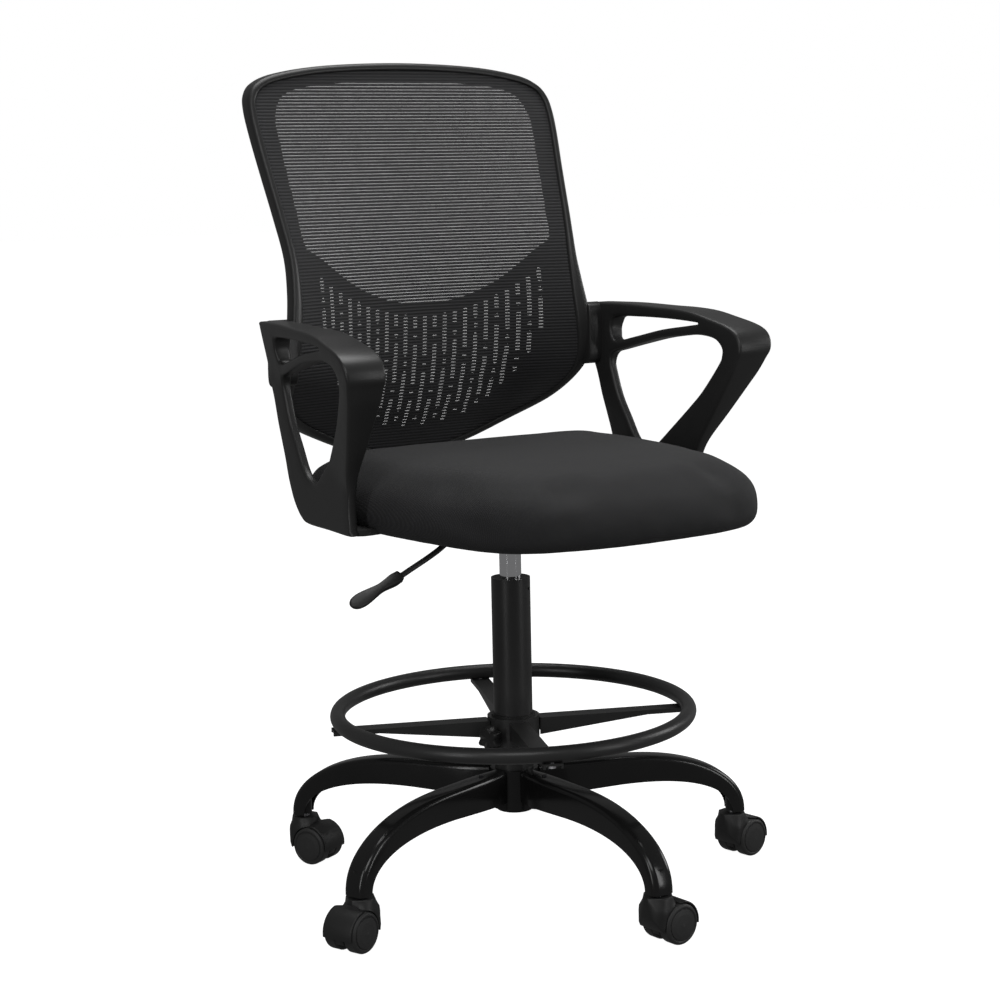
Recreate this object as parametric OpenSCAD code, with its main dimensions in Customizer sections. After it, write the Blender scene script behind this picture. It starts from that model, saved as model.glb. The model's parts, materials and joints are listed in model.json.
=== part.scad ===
// Drafting chair: five-legged base on twin-wheel casters, gas-lift column,
// height-adjustable foot ring, padded seat, loop arms and a mesh back.
// Millimetres. Origin on the floor under the column axis, front of the seat
// towards -Y, +Z up. Every node is one physical piece or one set of fasteners.

/* [Base] */
// Radius of the circle that the caster stems stand on
caster_circle_r = 300; // [285:1:330]
// Rise of the legs' top ridge from their outer ends to the hub
leg_rise = 89; // [82:1:96]
// Depth of a leg's side walls at the hub
leg_depth = 40; // [34:1:46]
// Width of a leg's channel
leg_w = 32; // [28:1:38]
// Thickness of the leg steel
leg_wall = 2; // [1.5:0.1:3]
// Wall of the base hub around the column
hub_wall = 6; // [4:0.5:8]
// Turn of the base about the column in the rest pose
base_turn = -160.3; // [-180:0.1:180]

/* [Casters] */
// Wheel diameter
wheel_d = 50; // [44:1:52]
// Width of one wheel
wheel_w = 18; // [15:0.5:20]
// Distance between the middles of the two wheels
wheel_pitch = 31; // [29:0.5:34]
// Distance from the stem to the axle
caster_trail = 19; // [15:1:22]
// Diameter of the stem that plugs into the leg
stem_d = 11; // [10:0.5:12]
// Direction of each caster's trail in the rest pose, counted from the front-left leg
caster_dir_0 = 203; // [0:1:360]
// Second caster's trail direction
caster_dir_1 = 7; // [0:1:360]
// Third caster's trail direction
caster_dir_2 = 11; // [0:1:360]
// Fourth caster's trail direction
caster_dir_3 = 40; // [0:1:360]
// Fifth caster's trail direction
caster_dir_4 = 297; // [0:1:360]

/* [Gas lift] */
// Outside diameter of the column tube
column_d = 50; // [46:1:54]
// Height of the column tube's mouth above the floor
column_top_z = 400; // [370:1:430]
// Wall of the column tube
column_wall = 2; // [1.5:0.1:2.5]
// Diameter of the chromed gas cylinder
cylinder_d = 28; // [26:1:30]
// Travel of the seat height
lift_stroke = 200; // [120:5:205]
// Diameter of the piston rod
rod_d = 10; // [8:0.5:12]

/* [Foot ring] */
// Radius of the ring's centre line
ring_r = 225; // [200:1:240]
// Diameter of the ring's tube
ring_tube_d = 19.6; // [16:0.2:24]
// Height of the ring's centre line
ring_z = 226; // [222:1:300]
// Wall of the ring's hub around its liner
ring_hub_wall = 5.4; // [3:0.1:8]
// Height of the ring's hub
ring_hub_h = 46; // [40:1:60]
// Turn of the spokes about the column in the rest pose
spoke_turn = -20.5; // [-45:0.5:45]

/* [Seat] */
// Distance from the column's mouth up to the seat board
column_to_board = 93; // [80:1:120]
// Thickness of the plywood board
board_t = 12; // [9:0.5:15]
// Half width of the cushion at its widest
seat_half_w = 240; // [225:1:245]
// Half width of the cushion at its front corners
seat_front_half_w = 200; // [180:1:215]
// Distance of the cushion's front edge from the column
seat_front_y = 335; // [300:1:345]
// Distance of the cushion's rear edge from the column
seat_rear_y = 160; // [140:1:175]
// Height of the cushion's crown above the board
cushion_h = 70; // [55:1:85]

/* [Arms] */
// How far the arms stand wider apart at the front bend than at the rear
arm_splay = 14; // [8:1:20]
// Width of the arm at its front bend
arm_w_front = 52; // [40:1:60]
// Width of the arm at its rear root
arm_w_rear = 24; // [18:1:30]
// Rise of the arm rest's top above the seat board, at the rear
arm_rise = 239; // [222:1:252]

/* [Back] */
// Width of the moulded rim seen from the front
rim_w = 12; // [9:0.5:16]
// Depth of the moulded rim
rim_depth = 26; // [20:1:32]
// Thickness of the inner shell
shell_t = 3; // [2:0.5:4]
// Thickness of the mesh
mesh_t = 1.6; // [1:0.1:2.5]

/* [Hidden] */
$fn = 48;
leg_count = 5;
fit_gap = 0.05;      // radial running clearance
body_gap = 0.4;      // clearance between bodies that only pass each other
seat_side_gap = 0.3; // cushion to arm

// ---- base ----
leg_end_z = wheel_d + 14;
leg_top_z = leg_end_z + leg_rise;
leg_bow_r = 150;     // radius at which a leg starts to bend down
leg_end_depth = 26;
leg_out = caster_circle_r + 18;
hub_d = column_d + 2 * hub_wall;
hub_top_z = leg_top_z - 1;
hub_low_z = leg_top_z - 52;
hub_neck_z = hub_low_z - 5;
hub_neck_d = column_d - 4;
socket_h = 30;
socket_l = 20;
bolt_ring_r = hub_d / 2 + 37;

// ---- casters ----
wheel_r = wheel_d / 2;
hood_r_in = wheel_r + 0.9;
hood_r_out = wheel_r + 3.6;
collar_d = 34;
collar_top_z = leg_end_z - 3;
axle_d = 6;
rib_w = wheel_pitch - wheel_w - 2 * body_gap;
caster_dirs = [caster_dir_0, caster_dir_1, caster_dir_2, caster_dir_3, caster_dir_4];

// ---- gas lift ----
column_in_d = column_d - 2 * column_wall;
column_low_z = hub_low_z;
floor_t = 4;
bearing_z = column_low_z + floor_t;
bearing_h = 6;
rod_collar_z = bearing_z + bearing_h;
gland_z = hub_low_z + 17;
gland_h = 12;
piston_h = 12;
piston_z = gland_z + gland_h + lift_stroke + 7;
rod_top_z = piston_z + piston_h;
rod_low_z = hub_low_z - 4;
rod_collar_d = rod_d + 7;
bearing_d = rod_d + 14;
board_z = column_top_z + column_to_board;
cylinder_top_z = board_z - 22;
cylinder_cap_z = cylinder_top_z - 34;
cylinder_in_d = cylinder_d - 4;
bush_h = 78;
pin_d = 8;
pin_travel = 6;
pin_top_z = cylinder_top_z + pin_travel + 0.5;
pin_gap = 0.6;       // lever rod to valve pin at rest
pin_low_z = cylinder_cap_z + 8;

// ---- foot ring ----
ring_wall = 1.6;
sleeve_t = 3;
sleeve_d = column_d + 2 * fit_gap + 2 * sleeve_t;
sleeve_low_z = ring_z - 6 - ring_hub_h - 2;
ring_hub_z = sleeve_low_z + 2 + 0.3;
ring_hub_d = sleeve_d + 2 * ring_hub_wall;
spoke_top_z = ring_z - ring_tube_d / 2;
spoke_w = 24;
spoke_t = 2.5;
spoke_in_r = ring_hub_d / 2 - 0.5;
spoke_out_r = ring_r + ring_tube_d / 2 - 1;
spoke_depth = 22;
spoke_end_depth = 6;
knob_dir = -160;
knob_z = 199;
knob_d = 33;
knob_h = 18;
knob_r = ring_hub_d / 2 + 6;
stud_d = 8;

// ---- seat mechanism ----
plate_t = 3;
plate_x = 190;
plate_y = 160;
plate_z = board_z - plate_t;
box_x = 150;
box_y = 76;
box_low_z = board_z - 41;
plate_hub_d = cylinder_d + 18;
plate_hub_z = board_z - 53;
plate_bolt_x = 160;
plate_bolt_y = 120;
bolt_d = 6;
lever_pivot_x = -62;
lever_d = 7;
lever_z = pin_top_z + pin_gap + lever_d / 2;
barrel_d = 12;
pivot_d = 6;
lever_path = [[lever_pivot_x, 0, lever_z], [-92, -14, lever_z - 3], [-150, -92, lever_z - 12],
              [-212, -110, lever_z - 35], [-223.2, -112.8, lever_z - 38.5], [-244, -118, lever_z - 45]];

// ---- seat ----
board_top_z = board_z + board_t;
seat_low_z = board_z - 7;
foam_inset = 34;
foam_h = 48;

// ---- arms ----
arm_foot_t = 7;
arm_foot_y = [-62, 62];
arm_low_z = board_z - arm_foot_t;
arm_in_rear = seat_half_w;
arm_in_front = arm_in_rear + arm_splay;
arm_top_z = board_z + arm_rise;
arm_foot_in = seat_half_w - 72;
arm_bolt_x = seat_half_w - 50;
arm_bolt_y = [-32, 32];
arm_root_y = 165;
back_half_w = seat_half_w - 10;       // the back stands just inside the arms
arm_root_in = back_half_w - 8;
arm_root_bolts = [-58, -22];
root_head_seat = arm_in_rear + arm_w_rear - 5;    // the root screws' heads are sunk into the arm
arm_bend_y = -144;
post_w = 13;

// ---- back ----
rim_front = 4;       // how far the rim stands in front of the shell
mesh_gap = 1.4;      // between the mesh and the shell behind it
back_steps = 3;      // stations between two outline points
back_centre_z = 297;
outline_half_w = 230;                // half width that the outlines are drawn at
// Outer outline of the back, right half, from the top middle to the bottom middle: [x, z],
// with heights counted from the seat board's underside
back_outline = [[0, 562], [110, 558], [180, 548], [212, 536], [226, 520], [230, 499],
                [229, 467], [225, 422], [220, 367], [216, 312], [219, 269], [225, 227],
                [228, 187], [223, 152], [203, 119], [170, 97], [130, 73], [90, 51], [45, 39],
                [0, 35]];
// Edge of the see-through window, matched point for point with the outline
window_outline = [[0, 538], [95, 535], [150, 529], [180, 517], [193, 492], [194, 467],
                  [192, 422], [189, 372], [186, 329], [172, 318], [158, 308], [142, 296],
                  [124, 283], [104, 271], [82, 261], [62, 254], [45, 250], [28, 248],
                  [14, 247], [0, 246]];
// Depth of the back's middle at each height, and how far its sides stand behind (+)
// or in front (-) of the middle
back_mid = [[35, 262], [77, 241], [107, 222], [157, 205], [207, 199], [267, 197], [330, 201],
            [427, 220], [537, 244], [567, 251]];
back_wrap = [[35, 0], [77, 5], [107, -12], [157, -48], [207, -58], [252, -54], [307, -43],
             [363, -28], [423, -14], [482, -3], [527, 5], [567, 9]];

// ---------- helpers ----------

// Quarter of a squared-off ellipse, from its top to its outer end
function bow(cx, cz, a, b, n = 2.4, steps = 16) =
    [for (i = [0 : steps])
        let (t = 90 - 90 * i / steps)
        [cx + a * pow(max(cos(t), 0), 2 / n), cz + b * pow(max(sin(t), 0), 2 / n)]];

function rev(v) = [for (i = [len(v) - 1 : -1 : 0]) v[i]];

function spline(a, b, c, d, t) =
    0.5 * (2 * b + (c - a) * t + (2 * a - 5 * b + 4 * c - d) * t * t
           + (3 * b - a - 3 * c + d) * t * t * t);

// Closed outline: the half outline and its mirror image, joined by a smooth curve
function closed(half) =
    let (k = back_half_w / outline_half_w,
         right = [for (p = half) [p[0] * k, p[1]]],
         left = [for (i = [len(half) - 2 : -1 : 1]) [-right[i][0], right[i][1]]],
         ring = concat(right, left), n = len(ring))
    [for (i = [0 : n - 1]) for (j = [0 : back_steps - 1])
        spline(ring[(i + n - 1) % n], ring[i], ring[(i + 1) % n], ring[(i + 2) % n], j / back_steps)];

// Depth of the back's front surface at a place on it
function back_y(p) =
    lookup(p[1], back_mid) + lookup(p[1], back_wrap) * pow(p[0] / back_half_w, 2);

// Outline moved inwards by a distance
function inset(ring, d) =
    let (n = len(ring))
    [for (i = [0 : n - 1])
        let (t = ring[(i + 1) % n] - ring[(i + n - 1) % n], s = norm(t))
        ring[i] + d * [t[1], -t[0]] / s];

function on_back(p, dy) = [p[0], back_y(p) + dy, board_z + p[1]];

// Closed band between two matched outlines, lying along the back's curve
module back_band(outer, inner, front, depth, rows, filled = false) {
    n = len(outer);
    side = [for (j = [0 : rows]) for (i = [0 : n - 1]) inner[i] + (outer[i] - inner[i]) * j / rows];
    middle = [0, back_centre_z];
    points = concat([for (p = side) on_back(p, front)], [for (p = side) on_back(p, front + depth)],
                    [on_back(middle, front), on_back(middle, front + depth)]);
    back = n * (rows + 1);
    hub = 2 * back;
    faces = concat(
        [for (j = [0 : rows - 1]) for (i = [0 : n - 1])
            let (a = j * n + i, b = j * n + (i + 1) % n) for (f = [[a, b, b + n], [a, b + n, a + n]]) f],
        [for (j = [0 : rows - 1]) for (i = [0 : n - 1])
            let (a = back + j * n + i, b = back + j * n + (i + 1) % n)
            for (f = [[b + n, b, a], [a + n, b + n, a]]) f],
        [for (i = [0 : n - 1])
            let (a = i, b = (i + 1) % n)
            for (f = filled ? [[b, a, hub], [a + back, b + back, hub + 1]]
                            : [[b, a, a + back], [b, a + back, b + back]]) f],
        [for (i = [0 : n - 1])
            let (a = rows * n + i, b = rows * n + (i + 1) % n)
            for (f = [[a, b, b + back], [a, b + back, a + back]]) f]);
    polyhedron(points, faces);
}

module at_leg(i) {
    rotate([0, 0, base_turn + 72 * i]) children();
}

// Extrudes a side view drawn in radius and height, centred on the radius line
module side_view(w) {
    rotate([90, 0, 0]) translate([0, 0, -w / 2]) linear_extrude(w) children();
}

module ring_of(od, id, h) {
    difference() {
        cylinder(d = od, h = h);
        translate([0, 0, -1]) cylinder(d = id, h = h + 2);
    }
}

// Hexagon-headed screw standing on its head, shank up
module bolt(d, length, head_d, head_h) {
    cylinder(d = head_d, h = head_h, $fn = 6);
    translate([0, 0, head_h - 0.5]) cylinder(d = d, h = length + 0.5);
}

// ---------- base ----------

module base_hub() {
    color("#101010") difference() {
        union() {
            translate([0, 0, hub_low_z]) cylinder(d = hub_d, h = hub_top_z - hub_low_z);
            translate([0, 0, hub_neck_z]) cylinder(d = hub_neck_d, h = hub_low_z - hub_neck_z + 1);
        }
        translate([0, 0, hub_low_z]) cylinder(d = column_d, h = hub_top_z);
        translate([0, 0, hub_neck_z - 1]) cylinder(d = hub_neck_d - 8, h = 20);
    }
}

module base_leg(i) {
    top = bow(leg_bow_r, leg_end_z, leg_out - leg_bow_r, leg_top_z - leg_end_z);
    skin = bow(leg_bow_r, leg_end_z, leg_out - leg_bow_r - leg_wall, leg_top_z - leg_end_z - leg_wall);
    lip_r = leg_out - leg_end_depth;
    low = bow(lip_r - 100, leg_end_z, 100, leg_top_z - leg_depth - leg_end_z);
    color("#0c0c0d") at_leg(i) difference() {
        side_view(leg_w) polygon(concat([[hub_d / 2 - 4, leg_top_z]], top, rev(low),
                                        [[hub_d / 2 - 4, leg_top_z - leg_depth]]));
        side_view(leg_w - 2 * leg_wall) polygon(concat([[hub_d / 2 - 6, leg_top_z - leg_wall]], skin,
            [[leg_out - leg_wall, 0], [hub_d / 2 - 6, 0]]));
        translate([0, 0, hub_neck_z]) cylinder(d = hub_d, h = leg_top_z);
        translate([bolt_ring_r, 0, leg_top_z - leg_wall - 1]) cylinder(d = bolt_d + 0.4, h = leg_wall + 2);
    }
}

// Blocks welded into the leg ends, with the sockets that the caster stems turn in
module stem_sockets() {
    color("#161616") for (i = [0 : leg_count - 1]) at_leg(i) difference() {
        translate([caster_circle_r - socket_l / 2, -leg_w / 2 + leg_wall, leg_end_z])
            cube([socket_l, leg_w - 2 * leg_wall, socket_h]);
        translate([caster_circle_r, 0, leg_end_z - 1])
            cylinder(d = stem_d + 2 * fit_gap, h = socket_h - 2);
        side_view(leg_w) difference() {
            translate([caster_circle_r - 30, leg_end_z]) square([60, 60]);
            polygon(concat([[0, 0], [0, leg_top_z - leg_wall]],
                bow(leg_bow_r, leg_end_z, leg_out - leg_bow_r - leg_wall, leg_top_z - leg_end_z - leg_wall),
                [[leg_out - leg_wall, 0]]));
        }
    }
}

// One bolt under each leg beside the hub, up through the channel's roof
module base_bolts() {
    head_h = 5;
    color("#1c1c1c") for (i = [0 : leg_count - 1]) at_leg(i)
        translate([bolt_ring_r, 0, leg_top_z - leg_wall - head_h])
            bolt(bolt_d, leg_wall + 2, 12, head_h);
}

// ---------- casters ----------

// Places children in a caster's own frame: stem on Z, axle along Y behind it
module at_caster(i) {
    at_leg(i) translate([caster_circle_r, 0, 0])
        rotate([0, 0, caster_dirs[i] - (base_turn + 72 * i)]) children();
}

module caster_stem(i) {
    groove_z = leg_end_z + socket_h - 10;
    color("silver") at_caster(i) difference() {
        translate([0, 0, collar_top_z - 8]) cylinder(d = stem_d, h = leg_end_z + socket_h - 4 - collar_top_z + 8);
        translate([0, 0, groove_z]) ring_of(stem_d + 2, stem_d - 2, 2);
    }
}

module caster_hood(i) {
    color("#141414") at_caster(i) difference() {
        union() {
            difference() {
                cylinder(d = collar_d, h = collar_top_z);
                translate([0, 0, -1]) cylinder(d = collar_d + 2, h = wheel_r + 10);
            }
            translate([caster_trail, 0, wheel_r]) rotate([90, 0, 0])
                translate([0, 0, -wheel_pitch / 2 - wheel_w / 2 + 3])
                    cylinder(r = hood_r_out, h = wheel_pitch + wheel_w - 6);
        }
        // Room for the two wheels, on either side of the middle rib
        for (s = [-1, 1]) translate([caster_trail, s * (rib_w / 2 + 30), wheel_r])
            rotate([90, 0, 0]) cylinder(r = hood_r_in, h = 60, center = true);
        // Open below and behind the fender
        translate([caster_trail - 60, -60, -60]) cube([120, 120, 60 + wheel_r - 6]);
        translate([caster_trail + 5, 0, 0]) rotate([0, -40, 0])
            translate([-5, -60, -60]) cube([90, 120, 74]);
        translate([caster_trail, 60, wheel_r]) rotate([90, 0, 0]) cylinder(d = axle_d, h = 120);
        translate([0, 0, collar_top_z - 8]) cylinder(d = stem_d, h = 20);
    }
}

module caster_axle(i) {
    l = wheel_pitch + wheel_w - 9;
    color("silver") at_caster(i) translate([caster_trail, l / 2, wheel_r]) rotate([90, 0, 0])
        cylinder(d = axle_d, h = l);
}

// A wheel with a rounded tread, a domed outer disc and a blind axle bore
module caster_wheel(i, side) {
    w = wheel_w;
    r = wheel_r;
    color("#0f0f0f") at_caster(i)
        translate([caster_trail, side * (wheel_pitch - w) / 2, wheel_r]) rotate([-90 * side, 0, 0])
            difference() {
                rotate_extrude($fn = 64) polygon(concat(
                    [[axle_d / 2 + fit_gap, 0], [r - 2, 0], [r, 2], [r, w - 5]],
                    [for (t = [15 : 15 : 75]) [r - 4 + 4 * cos(t), w - 5 + 4 * sin(t)]],
                    [[r - 4, w - 1], [r - 5, w - 2], [r - 6, w - 2], [r - 6.5, w - 1],
                     [r - 12, w], [0, w + 0.8], [0, w - 4], [axle_d / 2 + fit_gap, w - 4]]));
            }
}

// ---------- gas lift ----------

module column_tube() {
    color("#17181a") difference() {
        translate([0, 0, column_low_z]) cylinder(d = column_d, h = column_top_z - column_low_z);
        translate([0, 0, column_low_z + floor_t]) cylinder(d = column_in_d, h = column_top_z);
        translate([0, 0, column_low_z - 1]) cylinder(d = rod_d + 2 * fit_gap, h = floor_t + 2);
        // Small locating hole near the mouth
        rotate([0, 0, -58]) translate([0, 0, column_top_z - 14]) rotate([0, 90, 0])
            cylinder(d = 4, h = column_d);
    }
}

module column_bush() {
    color("#0a0a0a") translate([0, 0, column_top_z - bush_h])
        ring_of(column_in_d, cylinder_d + 2 * fit_gap, bush_h);
}

module thrust_bearing() {
    color("silver") translate([0, 0, bearing_z]) ring_of(bearing_d, rod_d + 1, bearing_h);
}

module rod_clip() {
    color("dimgray") translate([0, 0, column_low_z - 1.9]) ring_of(rod_collar_d, rod_d, 1.5);
}

module piston_rod() {
    color("silver") union() {
        translate([0, 0, rod_low_z]) cylinder(d = rod_d, h = rod_top_z - rod_low_z);
        translate([0, 0, rod_collar_z]) cylinder(d = rod_collar_d, h = 3);
        translate([0, 0, piston_z]) cylinder(d = cylinder_in_d - 2 * fit_gap, h = piston_h);
    }
}

module gas_cylinder() {
    color("#d8dadd") difference() {
        translate([0, 0, gland_z]) cylinder(d = cylinder_d, h = cylinder_top_z - gland_z);
        translate([0, 0, gland_z + gland_h])
            cylinder(d = cylinder_in_d, h = cylinder_cap_z - gland_z - gland_h);
        translate([0, 0, gland_z - 1]) cylinder(d = rod_d + 2 * fit_gap, h = gland_h + 2);
        translate([0, 0, cylinder_cap_z - 1]) cylinder(d = pin_d + 2 * fit_gap, h = 60);
    }
}

module valve_pin() {
    color("dimgray") translate([0, 0, pin_low_z]) cylinder(d = pin_d, h = pin_top_z - pin_low_z);
}

// ---------- foot ring ----------

module foot_ring() {
    color("#151617") translate([0, 0, ring_z])
        rotate_extrude($fn = 128) translate([ring_r, 0]) difference() {
            circle(d = ring_tube_d, $fn = 32);
            circle(d = ring_tube_d - 2 * ring_wall, $fn = 32);
        }
}

// Four pressed spokes, each a top flange with two tapering side walls
module ring_spokes() {
    color("#121314") for (k = [0 : 3]) rotate([0, 0, spoke_turn + 90 * k]) difference() {
        side_view(spoke_w) polygon([
            [spoke_in_r, spoke_top_z], [spoke_out_r, spoke_top_z],
            [spoke_out_r, spoke_top_z - spoke_end_depth], [ring_r - 50, spoke_top_z - spoke_end_depth],
            [spoke_in_r, spoke_top_z - spoke_depth]]);
        translate([0, 0, -spoke_t]) side_view(spoke_w - 2 * spoke_t) polygon([
            [spoke_in_r - 5, spoke_top_z], [spoke_out_r + 5, spoke_top_z],
            [spoke_out_r + 5, spoke_top_z - 40], [spoke_in_r - 5, spoke_top_z - 40]]);
        translate([0, 0, ring_hub_z - 1]) cylinder(d = ring_hub_d, h = ring_hub_h + 60);
        translate([ring_r, 0, spoke_top_z - 10]) cylinder(d = bolt_d, h = 20);
    }
}

module ring_hub() {
    color("#101112") difference() {
        translate([0, 0, ring_hub_z]) cylinder(d = ring_hub_d, h = ring_hub_h);
        translate([0, 0, ring_hub_z - 1]) cylinder(d = sleeve_d + 2 * fit_gap, h = ring_hub_h + 2);
        rotate([0, 0, knob_dir]) translate([0, 0, knob_z]) rotate([0, 90, 0])
            cylinder(d = stud_d + 2 * fit_gap, h = ring_hub_d);
    }
}

// Plastic liner that slides on the column and carries the ring's hub
module ring_sleeve() {
    color("#0a0a0a") difference() {
        union() {
            translate([0, 0, sleeve_low_z]) cylinder(d = sleeve_d, h = ring_hub_h + 5);
            translate([0, 0, sleeve_low_z]) cylinder(d = ring_hub_d - 2, h = 2);
        }
        translate([0, 0, sleeve_low_z - 1]) cylinder(d = column_d + 2 * fit_gap, h = ring_hub_h + 10);
    }
}

module ring_screws() {
    head_h = 4;
    color("silver") for (k = [0 : 3]) rotate([0, 0, spoke_turn + 90 * k])
        translate([ring_r, 0, spoke_top_z - spoke_t - head_h]) bolt(bolt_d, spoke_t + 4, 10, head_h);
}

// Lobed hand knob with its moulded-in stud
module clamp_knob() {
    lobes = 6;
    color("#0d0d0d") rotate([0, 0, knob_dir]) translate([0, 0, knob_z]) rotate([0, 90, 0]) {
        difference() {
            translate([0, 0, knob_r]) cylinder(d = knob_d, h = knob_h);
            for (k = [0 : lobes - 1]) rotate([0, 0, 360 / lobes * k])
                translate([knob_d / 2 + 3, 0, knob_r - 1]) cylinder(d = 12, h = knob_h + 2);
        }
        translate([0, 0, sleeve_d / 2 + 0.5]) cylinder(d = stud_d, h = knob_r - sleeve_d / 2);
    }
}

// ---------- seat mechanism ----------

module seat_plate() {
    color("#17181a") difference() {
        union() {
            translate([-plate_x / 2, -plate_y / 2, plate_z]) cube([plate_x, plate_y, plate_t]);
            for (s = [-1, 1]) translate([-box_x / 2, s * (box_y / 2 - plate_t / 2) - plate_t / 2, box_low_z])
                cube([box_x, plate_t, plate_z - box_low_z]);
            translate([-box_x / 2, -box_y / 2, box_low_z]) cube([box_x, box_y, plate_t]);
            translate([0, 0, plate_hub_z]) cylinder(d = plate_hub_d, h = cylinder_top_z - plate_hub_z);
        }
        translate([0, 0, plate_hub_z - 1]) cylinder(d = cylinder_d, h = cylinder_top_z - plate_hub_z + 2);
        for (sx = [-1, 1], sy = [-1, 1])
            translate([sx * plate_bolt_x / 2, sy * plate_bolt_y / 2, plate_z - 1])
                cylinder(d = bolt_d + 0.5, h = plate_t + 2);
        translate([lever_pivot_x, box_y, lever_z]) rotate([90, 0, 0]) cylinder(d = pivot_d, h = 2 * box_y);
    }
}

// The four bolts that hold the mechanism under the board
module seat_bolts() {
    head_h = 4;
    color("silver") for (sx = [-1, 1], sy = [-1, 1])
        translate([sx * plate_bolt_x / 2, sy * plate_bolt_y / 2, plate_z - head_h])
            bolt(bolt_d, plate_t + board_t - 2, 11, head_h);
}

module lever_pin() {
    color("silver") translate([lever_pivot_x, box_y / 2 + 1.5, lever_z]) rotate([90, 0, 0])
        cylinder(d = pivot_d, h = box_y + 3);
}

// Straight round bar between two points
module bar(a, b, d) {
    v = b - a;
    translate(a) rotate([0, acos(v[2] / norm(v)), atan2(v[1], v[0])]) cylinder(d = d, h = norm(v));
}

// Round bar swept along a smooth curve through points
module swept_bar(path, d, sides = 12) {
    last = len(path) - 1;
    steps = 4;
    curve = concat([for (i = [0 : last - 1]) for (k = [0 : steps - 1])
        spline(i > 0 ? path[i - 1] : 2 * path[0] - path[1], path[i], path[i + 1],
               i < last - 1 ? path[i + 2] : 2 * path[last] - path[last - 1], k / steps)], [path[last]]);
    n = len(curve);
    points = [for (i = [0 : n - 1])
        let (along = curve[min(i + 1, n - 1)] - curve[max(i - 1, 0)],
             side = cross(along, [0, 0, 1]) / norm(cross(along, [0, 0, 1])),
             up = cross(side, along) / norm(along))
        for (a = [0 : 360 / sides : 359]) curve[i] + d / 2 * (cos(a) * side + sin(a) * up)];
    faces = concat([[for (k = [sides - 1 : -1 : 0]) k], [for (k = [0 : sides - 1]) (n - 1) * sides + k]],
        [for (i = [0 : n - 2]) for (k = [0 : sides - 1])
            let (a = i * sides + k, b = i * sides + (k + 1) % sides)
            for (f = [[a, b, a + sides], [b, b + sides, a + sides]]) f]);
    polyhedron(points, faces);
}

// Bent rod with a pivot barrel; its inner end reaches over the valve pin
module lever_rod() {
    pivot = lever_path[0];
    reach = (barrel_d + pivot_d) / 4;
    out = (lever_path[1] - pivot) / norm(lever_path[1] - pivot);
    color("#1a1a1a") {
        bar(pivot + reach * [1, 0, 0], [4, 0, lever_z], lever_d);
        swept_bar(concat([pivot + reach * out], [for (i = [1 : len(lever_path) - 1]) lever_path[i]]), lever_d);
        translate([pivot[0], 9, lever_z]) rotate([90, 0, 0]) ring_of(barrel_d, pivot_d + 2 * fit_gap, 18);
    }
}

// Flat paddle pushed onto the rod's end, waisted and wider towards its round tip
module lever_handle() {
    a = lever_path[4];
    v = lever_path[5] - a;
    plan = [[0, 5.2], [4, 6.4], [12, 6.8], [22, 5.6], [32, 5], [44, 6.4], [56, 8.2], [66, 9],
            [73, 8.4], [78, 6], [80.5, 2.4]];
    side = [[0, 5.4], [14, 5.6], [30, 4.6], [60, 3.6], [76, 2.8], [80.5, 1.2]];
    color("#0d0d0d") translate(a) rotate([0, 0, atan2(v[1], v[0])])
        rotate([0, -atan2(v[2], norm([v[0], v[1]])), 0]) difference() {
            intersection() {
                translate([0, 0, -10]) linear_extrude(20)
                    polygon(concat(plan, [for (p = rev(plan)) [p[0], -p[1]]]));
                rotate([90, 0, 0]) translate([0, 0, -12]) linear_extrude(24)
                    polygon(concat(side, [for (p = rev(side)) [p[0], -p[1]]]));
            }
            translate([-1, 0, 0]) rotate([0, 90, 0]) cylinder(d = lever_d, h = 1 + norm(v));
        }
}

// ---------- seat ----------

// Plan of the cushion drawn in by a distance from its widest outline
module seat_plan(inset_d) {
    rear_r = 60;
    front_r = 92;
    nose_r = 250;
    g = inset_d;
    for (s = [-1, 1]) {
        translate([s * (seat_half_w - rear_r), seat_rear_y - rear_r]) circle(r = rear_r - g, $fn = 40);
        translate([s * (seat_half_w - rear_r), -30]) circle(r = rear_r - g, $fn = 40);
        translate([s * (seat_front_half_w - front_r), -(seat_front_y - 7 - front_r)])
            circle(r = front_r - g, $fn = 48);
    }
    translate([0, nose_r - seat_front_y]) intersection() {
        circle(r = nose_r - g, $fn = 96);
        translate([-60, -nose_r]) square([120, 60]);
    }
}

module seat_slab(z, inset_d) {
    translate([0, 0, z]) linear_extrude(0.5) seat_plan(inset_d);
}

module seat_board() {
    color("#b08a5a") translate([0, 0, board_z]) difference() {
        linear_extrude(board_t) hull() seat_plan(foam_inset - 8);
        for (sx = [-1, 1], sy = [-1, 1])
            translate([sx * plate_bolt_x / 2, sy * plate_bolt_y / 2, -1]) cylinder(d = bolt_d, h = board_t + 2);
        for (sx = [-1, 1], y = arm_bolt_y)
            translate([sx * arm_bolt_x, y, -1]) cylinder(d = bolt_d, h = board_t + 2);
    }
}

module seat_foam() {
    color("#d9c98f") translate([0, 0, board_top_z]) linear_extrude(foam_h) hull() seat_plan(foam_inset - 8);
}

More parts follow.
